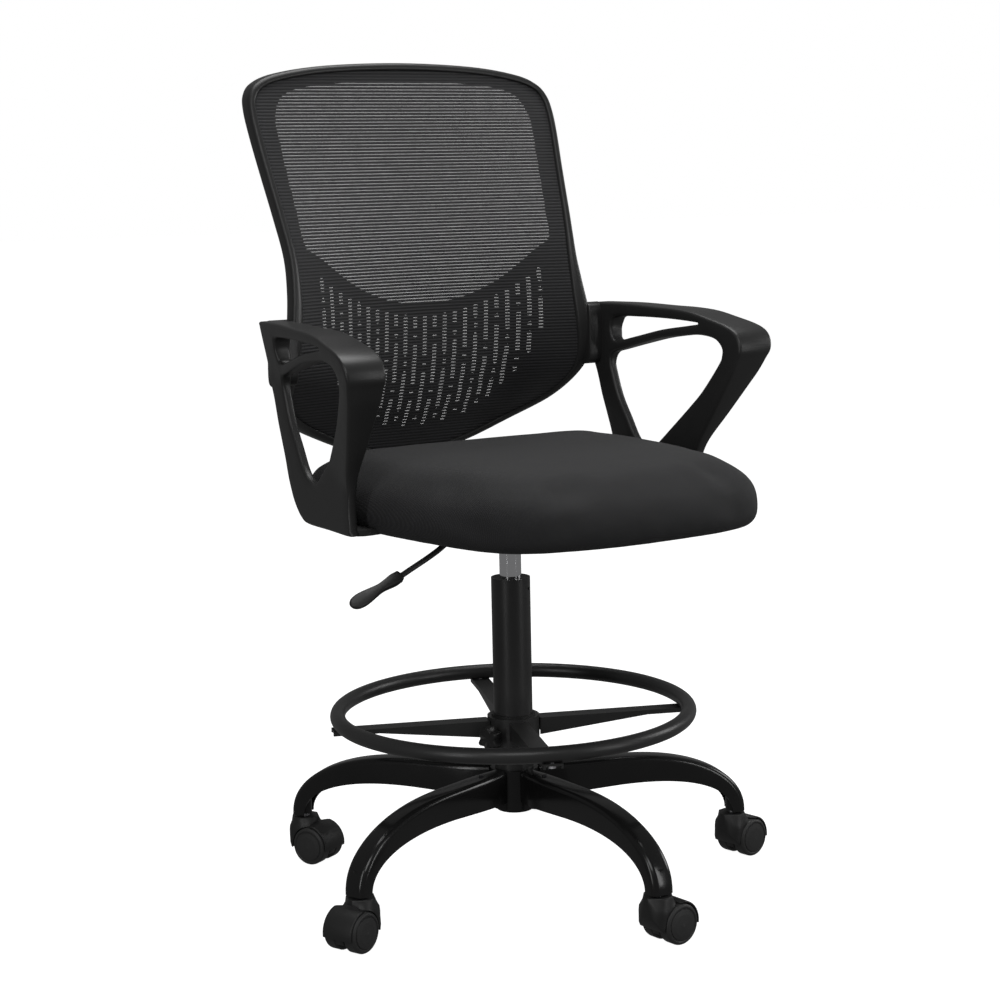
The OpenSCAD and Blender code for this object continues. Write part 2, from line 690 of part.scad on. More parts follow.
// Fabric-covered outer form of the cushion, open below where the board shows
module seat_cover() {
    top = board_top_z + cushion_h;
    seat_length = seat_front_y + seat_rear_y;
    mid_y = (seat_rear_y - seat_front_y) / 2;
    color("#0b0b0c") difference() {
        hull() {
            seat_slab(seat_low_z, 26);
            seat_slab(seat_low_z + 12, 12);
            seat_slab(seat_low_z + 34, 1);
            seat_slab(seat_low_z + 50, 3);
            seat_slab(top - 28, 14);
            seat_slab(top - 14, 34);
            translate([0, mid_y, top - 6]) linear_extrude(0.5)
                square([2 * seat_half_w - 210, seat_length - 199], center = true);
            translate([0, mid_y, top - 0.5]) linear_extrude(0.5)
                square([seat_half_w / 2, seat_length / 3], center = true);
        }
        translate([0, 0, board_z]) linear_extrude(board_t + foam_h) hull() seat_plan(foam_inset - 8);
        translate([0, 0, seat_low_z - 1]) linear_extrude(board_z - seat_low_z + 2)
            hull() seat_plan(foam_inset + 4);
        for (s = [-1, 1]) translate([s * (seat_half_w - 10), (arm_foot_y[0] + arm_foot_y[1]) / 2, seat_low_z])
            cube([120, arm_foot_y[1] - arm_foot_y[0] + 2 * seat_side_gap + 2,
                  2 * (board_z - seat_low_z + seat_side_gap)], center = true);
    }
}

// ---------- arms ----------

// Side view of an arm in depth and height: the closed loop with its two openings
module arm_side() {
    difference() {
        polygon(concat(
            [[arm_root_y, arm_top_z - 76], [arm_root_y, arm_top_z - 4], [arm_root_y - 6, arm_top_z]],
            [for (t = [0 : 0.25 : 1]) [120 - 190 * t, arm_top_z - 2 - 9 * t * t]],
            [for (t = [75 : -15 : -30]) [arm_bend_y + 34 + 34 * cos(180 - t), arm_top_z - 48 + 34 * sin(t)]],
            [[-62, arm_low_z + 60], [-58, arm_low_z + 20], [-62, arm_low_z]],
            [[60, arm_low_z]],
            [for (t = [-60 : 30 : 0]) [60 + 22 * cos(t), arm_low_z + 22 + 22 * sin(t)]],
            [[114, arm_low_z + 67], [128, arm_low_z + 115], [143, arm_top_z - 92], [153, arm_top_z - 80]]));
        // Slim upper opening
        polygon([[112, arm_top_z - 20], [60, arm_top_z - 19], [-40, arm_top_z - 25], [-58, arm_top_z - 29],
                 [-40, arm_top_z - 31], [30, arm_top_z - 37], [90, arm_top_z - 50], [118, arm_top_z - 53]]);
        // Large lower opening
        polygon(concat(
            [[104, arm_top_z - 70], [60, arm_top_z - 57], [0, arm_top_z - 47], [-60, arm_top_z - 41]],
            [for (t = [90 : 22.5 : 202.5]) [-86 + 22 * cos(t), arm_top_z - 65 + 22 * sin(t)]],
            [[-60, arm_top_z - 110], [-5, arm_low_z + 84], [14, arm_low_z + 60], [24, arm_low_z + 44],
             [36, arm_low_z + 40], [52, arm_low_z + 46], [86, arm_low_z + 66], [103, arm_low_z + 120],
             [113, arm_top_z - 84]]));
    }
}

// An arm on the +X side: side view, plan and front view cut from one block,
// with the foot that reaches under the board
module arm() {
    difference() {
        union() {
            intersection() {
                rotate([90, 0, 90]) linear_extrude(400) arm_side();
                translate([0, 0, 300]) linear_extrude(600) polygon([
                    [arm_in_rear, arm_root_y + 5], [arm_in_front, arm_bend_y - 5],
                    [arm_in_front + arm_w_front, arm_bend_y - 5],
                    [arm_in_front + arm_w_front - 4, arm_bend_y + 60],
                    [arm_in_rear + arm_w_rear, arm_root_y + 5]]);
                translate([0, 300, 0]) rotate([90, 0, 0]) linear_extrude(600) polygon([
                    [arm_in_rear, arm_low_z], [arm_in_rear, arm_top_z + 5], [330, arm_top_z + 5],
                    [330, arm_top_z - 40], [arm_in_front + arm_w_front - 12, arm_top_z - 90],
                    [arm_in_rear + 26, arm_low_z + 60], [arm_in_rear + 20, arm_low_z]]);
            }
            translate([arm_foot_in, arm_foot_y[0], arm_low_z])
                cube([arm_in_rear + 8 - arm_foot_in, arm_foot_y[1] - arm_foot_y[0], arm_foot_t]);
            // Root pad, bedded on the side of the back's rim
            translate([arm_root_in, arm_root_y - 16, arm_top_z - 76])
                cube([arm_in_rear + 2 - arm_root_in, 16, 72]);
        }
        for (z = arm_root_bolts) translate([arm_root_in - 1, arm_root_y - 8, arm_top_z + z])
            rotate([0, 90, 0]) {
                cylinder(d = bolt_d + 0.5, h = 60);
                translate([0, 0, root_head_seat - arm_root_in + 1]) cylinder(d = 12, h = 60);
            }
        // The rear post is a plate: its outer side is cut back
        translate([arm_in_rear + post_w + 2, 60, arm_low_z + 24]) cube([100, 120, arm_top_z - 66 - arm_low_z - 24]);
        for (y = arm_bolt_y) translate([arm_bolt_x, y, arm_low_z - 1]) cylinder(d = bolt_d + 0.5, h = arm_foot_t + 2);
    }
}

module arm_left() {
    color("#141516") arm();
}

module arm_right() {
    color("#141516") mirror([1, 0, 0]) arm();
}

module arm_screws() {
    head_h = 4;
    color("silver") for (sx = [-1, 1]) {
        for (y = arm_bolt_y) translate([sx * arm_bolt_x, y, arm_low_z - head_h])
            bolt(bolt_d, arm_foot_t + board_t - 2, 11, head_h);
        for (z = arm_root_bolts) translate([0, arm_root_y - 8, arm_top_z + z])
            mirror([sx < 0 ? 1 : 0, 0, 0]) translate([root_head_seat + head_h, 0, 0])
                rotate([0, -90, 0]) bolt(bolt_d, root_head_seat - back_half_w + 7, 11, head_h);
    }
}

// ---------- back ----------

module back_rim() {
    outer = closed(back_outline);
    color("#161718") back_band(outer, inset(outer, rim_w), -rim_front, rim_depth, 1);
}

module back_shell() {
    outer = inset(closed(back_outline), rim_w);
    color("#0f1011") back_band(outer, closed(window_outline), mesh_t + mesh_gap, shell_t, 5);
}

module back_mesh() {
    outer = inset(closed(back_outline), rim_w);
    middle = [0, back_centre_z];
    inner = [for (p = outer) middle + (p - middle) * 0.15];
    color("#1b1c1d") back_band(outer, inner, 0, mesh_t, 6, filled = true);
}

// ---------- the chair ----------

base_hub();
base_leg(0);  // base_leg_1
base_leg(1);  // base_leg_2
base_leg(2);  // base_leg_3
base_leg(3);  // base_leg_4
base_leg(4);  // base_leg_5
stem_sockets();
base_bolts();
for (i = [0 : leg_count - 1]) {
    name = str("caster_", i + 1);
    caster_stem(i);
    caster_hood(i);
    caster_axle(i);
    caster_wheel(i, 1);
    caster_wheel(i, -1);
}
column_tube();
column_bush();
thrust_bearing();
rod_clip();
piston_rod();
gas_cylinder();
valve_pin();
foot_ring();
ring_spokes();
ring_hub();
ring_sleeve();
ring_screws();
clamp_knob();
seat_plate();
seat_bolts();
lever_rod();
lever_handle();
lever_pin();
seat_board();
seat_foam();
seat_cover();
arm_left();
arm_right();
arm_screws();
back_rim();
back_shell();
back_mesh();
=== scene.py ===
# %% [markdown]
# # A drafting chair in Blender
# The chair has a five-legged steel base on twin-wheel casters, a gas lift, a foot ring, a padded
# seat, two loop arms and a mesh back. The mechanical model is loaded first and never moves: every
# piece made here is placed from it, in metres, with the origin on the floor under the column, the
# front of the seat towards -Y and +Z up.

# %% Load the mechanical model
import json
import math

import bmesh
import bpy
from mathutils import Matrix, Vector, geometry, noise

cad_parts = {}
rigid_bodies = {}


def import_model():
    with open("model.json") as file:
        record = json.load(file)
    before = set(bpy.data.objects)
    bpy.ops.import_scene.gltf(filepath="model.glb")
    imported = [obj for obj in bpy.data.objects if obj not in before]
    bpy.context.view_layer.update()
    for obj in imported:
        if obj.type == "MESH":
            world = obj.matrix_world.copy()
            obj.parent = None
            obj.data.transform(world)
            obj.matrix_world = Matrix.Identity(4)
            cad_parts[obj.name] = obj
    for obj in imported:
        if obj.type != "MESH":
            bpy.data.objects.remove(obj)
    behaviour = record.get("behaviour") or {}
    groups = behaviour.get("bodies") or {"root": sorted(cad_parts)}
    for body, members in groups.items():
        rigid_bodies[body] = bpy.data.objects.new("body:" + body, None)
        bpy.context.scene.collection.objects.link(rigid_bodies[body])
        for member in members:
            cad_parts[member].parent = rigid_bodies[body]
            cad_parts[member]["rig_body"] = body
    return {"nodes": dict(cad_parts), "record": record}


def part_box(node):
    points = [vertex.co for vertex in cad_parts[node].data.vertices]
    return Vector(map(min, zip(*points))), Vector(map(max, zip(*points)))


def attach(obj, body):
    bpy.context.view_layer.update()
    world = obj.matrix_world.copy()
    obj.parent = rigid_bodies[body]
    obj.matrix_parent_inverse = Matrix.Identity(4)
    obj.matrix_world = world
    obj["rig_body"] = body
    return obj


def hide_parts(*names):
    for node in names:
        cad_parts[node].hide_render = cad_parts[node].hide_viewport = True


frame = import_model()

scene = bpy.context.scene
nodes = frame["nodes"]
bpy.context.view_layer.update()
MM = 0.001

# %% [markdown]
# Lengths below are written in millimetres, as a maker would say them, and turned into metres in
# one place. These few helpers measure the loaded model, so that a new piece lands where the
# mechanical piece is.


# %% Measuring helpers
def low(node, axis):
    """Lowest place of a mechanical piece along an axis (0, 1, 2), in millimetres."""
    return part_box(node)[0][axis] / MM


def high(node, axis):
    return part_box(node)[1][axis] / MM


def reach(node):
    """How far a mechanical piece reaches from the column, in millimetres."""
    return max(v.co.xy.length for v in nodes[node].data.vertices) / MM


def body_of(node):
    return nodes[node]["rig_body"]


board_z = low("seat_board", 2)
seat_half_w = high("seat_cover", 0)
back_half_w = high("back_rim", 0)
arm_top_z = high("arm_left", 2)
leg_top_z = high("base_leg_1", 2)
ring_z = (low("foot_ring", 2) + high("foot_ring", 2)) / 2
print("seat board at", round(board_z, 1), "mm, arm rests at", round(arm_top_z, 1), "mm")

# %% [markdown]
# ## Finishes as arithmetic
# A Blender material is a graph of nodes. Writing it as Python expressions keeps it short: `Field`
# wraps one output socket, and its operators add Math nodes. `Finish` owns a material, adds any
# other node in one call and feeds the main shader.


# %% Shader arithmetic
class Field:
    """A number that varies over a surface."""

    def __init__(self, finish, socket):
        self.finish, self.socket = finish, socket

    def math(self, operation, *values):
        made = self.finish.node("Math", {"operation": operation}, *values)
        return Field(self.finish, made.outputs[0])

    def __add__(self, other):
        return self.math("ADD", self, other)

    __radd__ = __add__

    def __mul__(self, other):
        return self.math("MULTIPLY", self, other)

    __rmul__ = __mul__

    def __sub__(self, other):
        return self.math("SUBTRACT", self, other)

    def __rsub__(self, other):
        return self.math("SUBTRACT", other, self)

    def wave(self):
        """Sine of the value, moved into 0..1."""
        return self.math("SINE", self) * 0.5 + 0.5

    def above(self, level):
        return self.math("GREATER_THAN", self, level)


class Finish:
    """A procedural material around one main shader."""

    def __init__(self, name, colour, roughness, **constants):
        self.material = bpy.data.materials.new(name)
        self.material.use_nodes = True
        self.tree = self.material.node_tree
        self.shader = self.tree.nodes["Principled BSDF"]
        self.feed(self.shader.inputs["Base Color"], colour)
        self.feed(self.shader.inputs["Roughness"], roughness)
        self.feed(self.shader.inputs["Specular IOR Level"], 0.3)
        for name, value in constants.items():
            self.feed(self.shader.inputs[name.replace("_", " ")], value)
        place = self.node("TexCoord")
        self.place = place.outputs["Object"]
        self.axes = self.node("SeparateXYZ", {}, self.place).outputs

    def feed(self, socket, value):
        if isinstance(value, Field):
            value = value.socket
        if isinstance(value, bpy.types.NodeSocket):
            self.tree.links.new(value, socket)
        elif socket.type == "RGBA":
            socket.default_value = (*value, 1.0)
        else:
            socket.default_value = value

    def node(self, kind, settings=None, *values, **sockets):
        """Adds a node: its settings first, then its inputs by order or by name."""
        made = self.tree.nodes.new("ShaderNode" + kind)
        for name, value in (settings or {}).items():
            setattr(made, name, value)
        for socket, value in zip(made.inputs, values):
            self.feed(socket, value)
        for name, value in sockets.items():
            self.feed(made.inputs[name.replace("_", " ")], value)
        return made

    def axis(self, index):
        """Place along X, Y or Z, in millimetres."""
        return Field(self, self.axes[index]) * 1000.0

    def grain(self, scale, detail=3.0, stretch=(1, 1, 1)):
        """Soft noise, 0..1, with features about 1/scale metres across."""
        where = self.node("Mapping", {}, self.place, Scale=stretch)
        made = self.node("TexNoise", {}, Vector=where.outputs[0], Scale=scale, Detail=detail)
        return Field(self, made.outputs["Fac"])

    def blend(self, factor, first, second):
        """Colour between two colours."""
        made = self.node("Mix", {"data_type": "RGBA"})
        self.feed(made.inputs[0], factor)
        self.feed(made.inputs[6], first)
        self.feed(made.inputs[7], second)
        return made.outputs[2]

    def set(self, name, value):
        self.feed(self.shader.inputs[name], value)

    def bump(self, height, depth_mm):
        made = self.node("Bump", {}, Height=height, Distance=depth_mm * MM, Strength=1.0)
        self.set("Normal", made.outputs[0])


finishes = {}
print("shader helpers ready")

# %% [markdown]
# ## Painted steel
# The legs have a thick gloss powder coat: nearly black, sharp highlights, a faint orange peel.
# The column, ring and spokes are satin: the same coat with a fine sandy texture that spreads the
# highlight. Both get a little dust, which shows as paler, rougher clouds.


# %% Paint finishes
def paint(name, tone, gloss, peel_scale, peel_depth):
    finish = Finish(name, (tone, tone, tone * 1.04), gloss)
    dust = finish.grain(9.0, 4.0)
    finish.set("Base Color", finish.blend(dust, (tone * 0.8,) * 3, (tone * 1.5,) * 3))
    finish.set("Roughness", finish.grain(40.0) * 0.08 + (gloss - 0.03))
    finish.bump(finish.grain(peel_scale, 2.0), peel_depth)
    return finish


finishes["gloss_black_paint"] = paint("gloss_black_paint", 0.0075, 0.17, 260.0, 0.05)
finishes["satin_black_paint"] = paint("satin_black_paint", 0.02, 0.34, 1400.0, 0.06)
print("paint:", [name for name in finishes])

# %% [markdown]
# ## Bare metal
# The gas cylinder is polished chrome, so it needs almost no texture, only faint wipe marks. The
# screws and stems are zinc-plated or blackened steel, with short brushing lines around the axis.


# %% Metal finishes
def metal(name, colour, roughness, spread):
    finish = Finish(name, colour, roughness, Metallic=1.0)
    lines = finish.grain(30.0, 2.0, stretch=(1, 1, 40))
    finish.set("Roughness", lines * spread + (roughness - spread / 2))
    finish.set("Base Color", finish.blend(lines, [c * 0.9 for c in colour], colour))
    return finish


finishes["chrome"] = metal("chrome", (0.9, 0.9, 0.92), 0.06, 0.04)
finishes["bright_steel"] = metal("bright_steel", (0.55, 0.55, 0.57), 0.3, 0.2)
finishes["black_steel"] = metal("black_steel", (0.045, 0.045, 0.05), 0.42, 0.2)
print("metals ready")

# %% [markdown]
# ## Moulded plastic
# Arms, rim, hoods, wheels and knobs are moulded black plastic with a spark-eroded grain. The grain
# is far finer than the highlight, so it only breaks the highlight up. Treads are rubbed, so the
# wheels are rougher and a little greyer.


# %% Plastic finishes
def plastic(name, tone, roughness, grain_depth, rubbed=0.0):
    finish = Finish(name, (tone, tone, tone * 1.05), roughness)
    clouds = finish.grain(14.0, 4.0)
    finish.set("Base Color", finish.blend(clouds, (tone * 0.85,) * 3, (tone * (1.2 + rubbed),) * 3))
    finish.set("Roughness", clouds * 0.1 + (roughness - 0.05))
    finish.bump(finish.grain(1900.0, 3.0), grain_depth)
    return finish


finishes["arm_plastic"] = plastic("arm_plastic", 0.017, 0.38, 0.035)
finishes["black_plastic"] = plastic("black_plastic", 0.012, 0.46, 0.05)
finishes["caster_plastic"] = plastic("caster_plastic", 0.013, 0.45, 0.08)
finishes["wheel_plastic"] = plastic("wheel_plastic", 0.015, 0.5, 0.08, rubbed=0.8)
print("plastics ready")

# %% [markdown]
# ## Plywood
# The seat board is bare plywood. Seen from below it shows long face grain; on its edge it shows
# the plies, which a wave along Z gives.


# %% Wood finish
def plywood():
    finish = Finish("plywood", (0.45, 0.3, 0.17), 0.62)
    figure = finish.grain(16.0, 6.0, stretch=(1, 9, 1))
    plies = (finish.axis(2) * (2 * math.pi / 3.0)).wave()
    wood = finish.blend(figure, (0.30, 0.18, 0.09), (0.52, 0.36, 0.21))
    finish.set("Base Color", finish.blend(plies * 0.35, wood, (0.2, 0.11, 0.05)))
    finish.bump(figure, 0.25)
    return finish


finishes["plywood"] = plywood()
print("plywood ready")

# %% [markdown]
# ## Seat fabric
# A tight black polyester weave. Two sine waves a fraction of a millimetre apart make the over and
# under of the threads; they drive the bump, and a painted shade in the colour that darkens the yarn
# where it dips under. Sheen is a constant on the shader and gives the soft pale edge that cloth has
# at grazing angles.


# %% Seat fabric
def seat_fabric():
    thread_mm = 1.1
    finish = Finish("seat_fabric", (0.01, 0.01, 0.011), 0.8, Sheen_Weight=0.03,
                    Sheen_Roughness=0.45)
    along = (finish.axis(0) * (2 * math.pi / thread_mm)).wave()
    across = ((finish.axis(1) + finish.axis(2)) * (2 * math.pi / thread_mm)).wave()
    weave = along * across
    wear = finish.grain(7.0, 5.0)
    # Painted shade: the colour is darker where the weave dips and paler where the threads cross over.
    cloth = finish.blend(weave, (0.006, 0.006, 0.0065), (0.019, 0.019, 0.02))
    finish.set("Base Color", finish.blend(wear * 0.4, cloth, (0.016, 0.016, 0.017)))
    finish.set("Roughness", wear * 0.15 + 0.7)
    finish.bump(weave + finish.grain(500.0) * 0.4, 0.16)
    return finish


finishes["seat_fabric"] = seat_fabric()
print("seat fabric ready")

# %% [markdown]
# ## Ribbed mesh
# The back is a knitted mesh with heavy ribs across it and fine open threads in the valleys. The
# ribs are real geometry; the tiny holes between them are far too many to model, so the shader's
# alpha opens them. Only a small share is open, because the knit is dense.


# %% Mesh fabric
rib_mm = 4.2


def mesh_fabric():
    hole_mm = 1.5
    finish = Finish("mesh_fabric", (0.02, 0.02, 0.021), 0.62, Sheen_Weight=0.02)
    rib = (finish.axis(2) * (2 * math.pi / rib_mm)).wave()
    stitch = (finish.axis(0) * (2 * math.pi / hole_mm)).wave()
    uneven = finish.grain(60.0, 3.0)
    hole = (1 - rib).above(0.86) * (stitch + uneven * 0.2).above(0.93)
    finish.set("Alpha", 1 - hole)
    # Painted shade: the yarn is darker in the valleys between the ribs and paler on their crests.
    yarn_with_painted_valley_shade = finish.blend(rib, (0.006, 0.006, 0.0065), (0.03, 0.03, 0.032))
    finish.set("Base Color", finish.blend(uneven, yarn_with_painted_valley_shade, (0.018, 0.018, 0.019)))
    finish.bump(stitch * 0.5 + finish.grain(900.0), 0.12)
    return finish


finishes["mesh_fabric"] = mesh_fabric()
print("mesh fabric ready")

# %% [markdown]
# ## Building pieces
# Each piece is a list of points and faces. `piece` turns them into an object, welds doubled
# points, makes the normals agree, smooths the shading up to a crease angle, and lets the piece
# ride on its body. `loft` skins a row of rings, and `lathe` turns a profile about Z.


# %% Mesh helpers
def piece(name, shape, body, slot, crease=35.0, replaces=(), place=None):
    verts, faces = shape
    mesh = bpy.data.meshes.new(name)
    mesh.from_pydata([Vector(v) * MM for v in verts], [], faces)
    if place is not None:
        mesh.transform(place)
    work = bmesh.new()
    work.from_mesh(mesh)
    bmesh.ops.remove_doubles(work, verts=work.verts, dist=0.00001)
    bmesh.ops.dissolve_degenerate(work, edges=work.edges, dist=0.00001)
    bmesh.ops.recalc_face_normals(work, faces=work.faces)
    work.to_mesh(mesh)
    work.free()
    mesh.shade_smooth()
    mesh.set_sharp_from_angle(angle=math.radians(crease))
    mesh.materials.append(finishes[slot].material)
    made = bpy.data.objects.new(name, mesh)
    scene.collection.objects.link(made)
    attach(made, body)
    if replaces:
        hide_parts(*replaces)
    return made


def loft(rings, ring_closed=True, ends=True, loop=False):
    """Faces between rings of equal length."""
    count = len(rings[0])
    verts = [point for ring in rings for point in ring]
    faces = []
    for j in range(len(rings) if loop else len(rings) - 1):
        near, far = j * count, (j + 1) % len(rings) * count
        for i in range(count if ring_closed else count - 1):
            k = (i + 1) % count
            faces.append((near + i, near + k, far + k, far + i))
    if ends and not loop:
        faces.append(tuple(range(count)))
        faces.append(tuple(range(len(verts) - count, len(verts))))
    return verts, faces


def lathe(profile, steps=64):
    """Turns (radius, height) points about Z. The profile may be closed or end on the axis."""
    turn = 2 * math.pi / steps
    rings = [[(r * math.cos(turn * i), r * math.sin(turn * i), z) for r, z in profile]
             for i in range(steps)]
    return loft(rings, ring_closed=profile[0] == profile[-1], ends=False, loop=True)


def join(*shapes):
    verts, faces = [], []
    for more_verts, more_faces in shapes:
        start = len(verts)
        verts += list(more_verts)
        faces += [tuple(start + i for i in face) for face in more_faces]
    return verts, faces


def mirrored(shape):
    return [(-x, y, z) for x, y, z in shape[0]], shape[1]


def curve_through(points, steps, closed=False):
    """Smooth curve through 2-D or 3-D points."""
    count = len(points)
    pts = [Vector(p) for p in points]
    out = []
    for i in range(count if closed else count - 1):
        if closed:
            a, b, c, d = (pts[(i + k) % count] for k in (-1, 0, 1, 2))
        else:
            b, c = pts[i], pts[i + 1]
            a = pts[i - 1] if i > 0 else b * 2 - c
            d = pts[i + 2] if i + 2 < count else c * 2 - b
        for k in range(steps):
            t = k / steps
            out.append(0.5 * (2 * b + (c - a) * t + (2 * a - 5 * b + 4 * c - d) * t * t
                              + (3 * b - a - 3 * c + d) * t ** 3))
    if not closed:
        out.append(pts[-1])
    return out


def reading(table, at):
    """Smooth reading of a short table of (place, value) points."""
    for (x0, y0), (x1, y1) in zip(table, table[1:]):
        if at <= x1 or (x1, y1) == table[-1]:
            break
    i = table.index((x0, y0))
    before = table[i - 1] if i > 0 else (x0, y0)
    after = table[i + 2] if i + 2 < len(table) else (x1, y1)
    slope0 = (y1 - before[1]) / (x1 - before[0])
    slope1 = (after[1] - y0) / (after[0] - x0)
    h = x1 - x0
    t = min(max((at - x0) / h, 0.0), 1.0)
    return ((2 * t ** 3 - 3 * t * t + 1) * y0 + (t ** 3 - 2 * t * t + t) * h * slope0
            + (3 * t * t - 2 * t ** 3) * y1 + (t ** 3 - t * t) * h * slope1)


print("mesh helpers ready")

# %% [markdown]
# ## Plates with round edges
# Arms, the perforated panel and the paddle are flat-ish mouldings: an outline with openings, and a
# front and a back face that may be curved; all but the panel have rounded edges. `delaunay` fills
# the outline with triangles around every opening; the rounding is a quarter circle of rings beside
# each edge.


# %% Plate helpers
def signed_area(loop):
    return sum(a[0] * b[1] - b[0] * a[1] for a, b in zip(loop, loop[1:] + loop[:1])) / 2


def moved_in(loop, distance):
    """The loop moved towards the material: outlines run anticlockwise, openings clockwise."""
    count = len(loop)
    out = []
    for i in range(count):
        a, b = loop[i - 1], loop[(i + 1) % count]
        along = Vector((b[0] - a[0], b[1] - a[1])).normalized()
        out.append((loop[i][0] - along.y * distance, loop[i][1] + along.x * distance))
    return out


def inside(loop, box, x, y):
    if not (box[0] <= x <= box[1] and box[2] <= y <= box[3]):
        return False
    odd = False
    for (x0, y0), (x1, y1) in zip(loop, loop[1:] + loop[:1]):
        if (y0 > y) != (y1 > y) and x < (x1 - x0) * (y - y0) / (y1 - y0) + x0:
            odd = not odd
    return odd


def fill(loops, spacing):
    """Triangles between an outline (first loop) and its openings, with a grid of inner points."""
    boxes = [(min(p[0] for p in loop), max(p[0] for p in loop),
              min(p[1] for p in loop), max(p[1] for p in loop)) for loop in loops]

    def in_material(x, y):
        return inside(loops[0], boxes[0], x, y) and not any(
            inside(loop, box, x, y) for loop, box in zip(loops[1:], boxes[1:]))

    points, edges = [], []
    for loop in loops:
        start = len(points)
        points += [Vector(p) for p in loop]
        edges += [(start + i, start + (i + 1) % len(loop)) for i in range(len(loop))]
    x0, x1, y0, y1 = boxes[0]
    for i in range(int((x1 - x0) / spacing)):
        for j in range(int((y1 - y0) / spacing)):
            x = x0 + (i + 0.5) * spacing
            y = y0 + (j + 0.5) * spacing
            reach = spacing * 0.4
            if all(in_material(x + dx, y + dy) for dx, dy in
                   ((reach, 0), (-reach, 0), (0, reach), (0, -reach))):
                points.append(Vector((x, y)))
    verts, _, tris, *_ = geometry.delaunay_2d_cdt(points, edges, [], 0, 1e-5, False)
    keep = []
    for tri in tris:
        x = sum(verts[i].x for i in tri) / len(tri)
        y = sum(verts[i].y for i in tri) / len(tri)
        if in_material(x, y):
            keep.append(tuple(tri))
    return [(v.x, v.y) for v in verts], keep


def plate(loops, front, back, radius, spacing, to_space, steps=3):
    """Closed plate. front(p) and back(p) give its two faces, to_space(p, d) places a point."""
    ordered = [list(loop) if (signed_area(loop) > 0) == (i == 0) else list(loop)[::-1]
               for i, loop in enumerate(loops)]
    inner = [moved_in(loop, radius) for loop in ordered] if radius else ordered
    flat, tris = fill(inner, spacing)
    shapes = [([to_space(p, front(p)) for p in flat], tris),
              ([to_space(p, back(p)) for p in flat], tris)]
    for loop, start in zip(ordered, inner):
        rings = []
        for side, sign in ((front, 1), (back, -1)):
            turned = []
            for k in range(steps + 1 if radius else 1):
                angle = math.pi / 2 * k / steps
                reach = radius * (1 - math.sin(angle))
                drop = radius * (1 - math.cos(angle))
                turned.append([to_space(q, side(q) - sign * drop) for q in moved_in(loop, reach)]
                              if k else [to_space(q, side(q)) for q in start])
            rings += turned if sign == 1 else turned[::-1]
        shapes.append(loft(rings, ends=False))
    return join(*shapes)


print("plate helpers ready")

# %% [markdown]
# ## The back
# The back is a shallow saddle. Its middle line curves from front to back with height, and its
# sides stand forward of the middle at the lumbar and behind it near the top. Two short tables hold
# both, as heights above the seat board. The rim, the inner shell and the mesh all lie on this one
# surface, so they always fit each other.

# %% The back's surface
back_middle = [(35, 262), (77, 241), (107, 222), (157, 205), (207, 199), (267, 197),
               (330, 201), (427, 220), (537, 244), (567, 251)]
back_wrap = [(35, 0), (77, 5), (107, -12), (157, -48), (207, -58), (252, -54), (307, -43),
             (363, -28), (423, -14), (482, -3), (527, 5), (567, 9)]
back_outline = [(0, 562), (110, 558), (180, 548), (212, 536), (226, 520), (230, 499), (229, 467),
                (225, 422), (220, 367), (216, 312), (219, 269), (225, 227), (229, 187), (227, 150),
                (213, 116), (184, 92), (136, 69), (90, 51), (45, 39), (0, 35)]
window_outline = [(0, 538), (95, 535), (150, 529), (180, 517), (193, 492), (194, 467), (192, 422),
                  (189, 372), (186, 329), (172, 318), (158, 308), (142, 296), (124, 283),
                  (104, 271), (82, 261), (62, 254), (45, 250), (28, 248), (14, 247), (0, 246)]
rim_w = 12.0


def back_depth(x, height):
    return reading(back_middle, height) + reading(back_wrap, height) * (x / back_half_w) ** 2


def on_back(p, distance):
    """A point given by width and height, a distance behind the front face of the mesh."""
    return (p[0], back_depth(p[0], p[1]) + distance, board_z + p[1])


def whole(half, steps=6):
    """Mirrors a right half into a closed smooth outline, running anticlockwise."""
    ring = half + [(-x, z) for x, z in half[-2:0:-1]]
    loop = [(p.x, p.y) for p in curve_through(ring, steps, closed=True)]
    return loop if signed_area(loop) > 0 else loop[::-1]


def rim_share(height):
    """How much wider the rim is at a height: it broadens beside the small of the back."""
    return 1.0 + 0.9 * math.exp(-((height - 215.0) / 75.0) ** 2)


def inside_rim(across):
    """The outline moved in by a distance that grows where the rim is broader."""
    step = moved_in(rim_line, 1.0)
    return [(x0 + (x1 - x0) * across * rim_share(z0), z0 + (z1 - z0) * across * rim_share(z0))
            for (x0, z0), (x1, z1) in zip(rim_line, step)]


rim_line = whole(back_outline)
window_line = whole(window_outline, 5)
print("back outline has", len(rim_line), "points")

# %% [markdown]
# ## The rim
# The rim is a moulded frame that grips the mesh. Its section is a soft-cornered bar with a groove
# near the inner edge where the mesh is tucked in; that groove draws the fine dark line that runs
# beside the edge. The section is swept round the outline.


# %% Back rim
def back_rim():
    section = [(0.0, 3.0), (0.3, 0.2), (1.3, -2.2), (3.2, -3.6), (6.0, -4.0), (8.2, -3.4),
               (9.2, -2.2), (9.5, -0.2), (9.8, 1.5), (12.0, 1.8), (12.0, 12.0), (11.6, 19.0),
               (9.5, 21.4), (5.0, 22.0), (2.0, 21.0), (0.5, 18.5), (0.0, 14.0)]
    rings = []
    sides = [inside_rim(across) for across, _ in section]
    for i in range(len(rim_line)):
        rings.append([on_back(side[i], depth) for side, (_, depth) in zip(sides, section)])
    return loft(rings, loop=True)


rim = piece("back_rim_moulding", back_rim(), "seat", "arm_plastic", 50.0, ["back_rim"])
print("rim:", len(rim.data.vertices), "points")

# %% [markdown]
# ## The perforated shell
# Behind the mesh a thin shell closes the lower half. Columns of long slots and round dots break it
# up, every second column shifted by half a period. The field of slots is bounded above by a curve
# under the window and below by a curve near the bottom edge, and slots are cut short there.


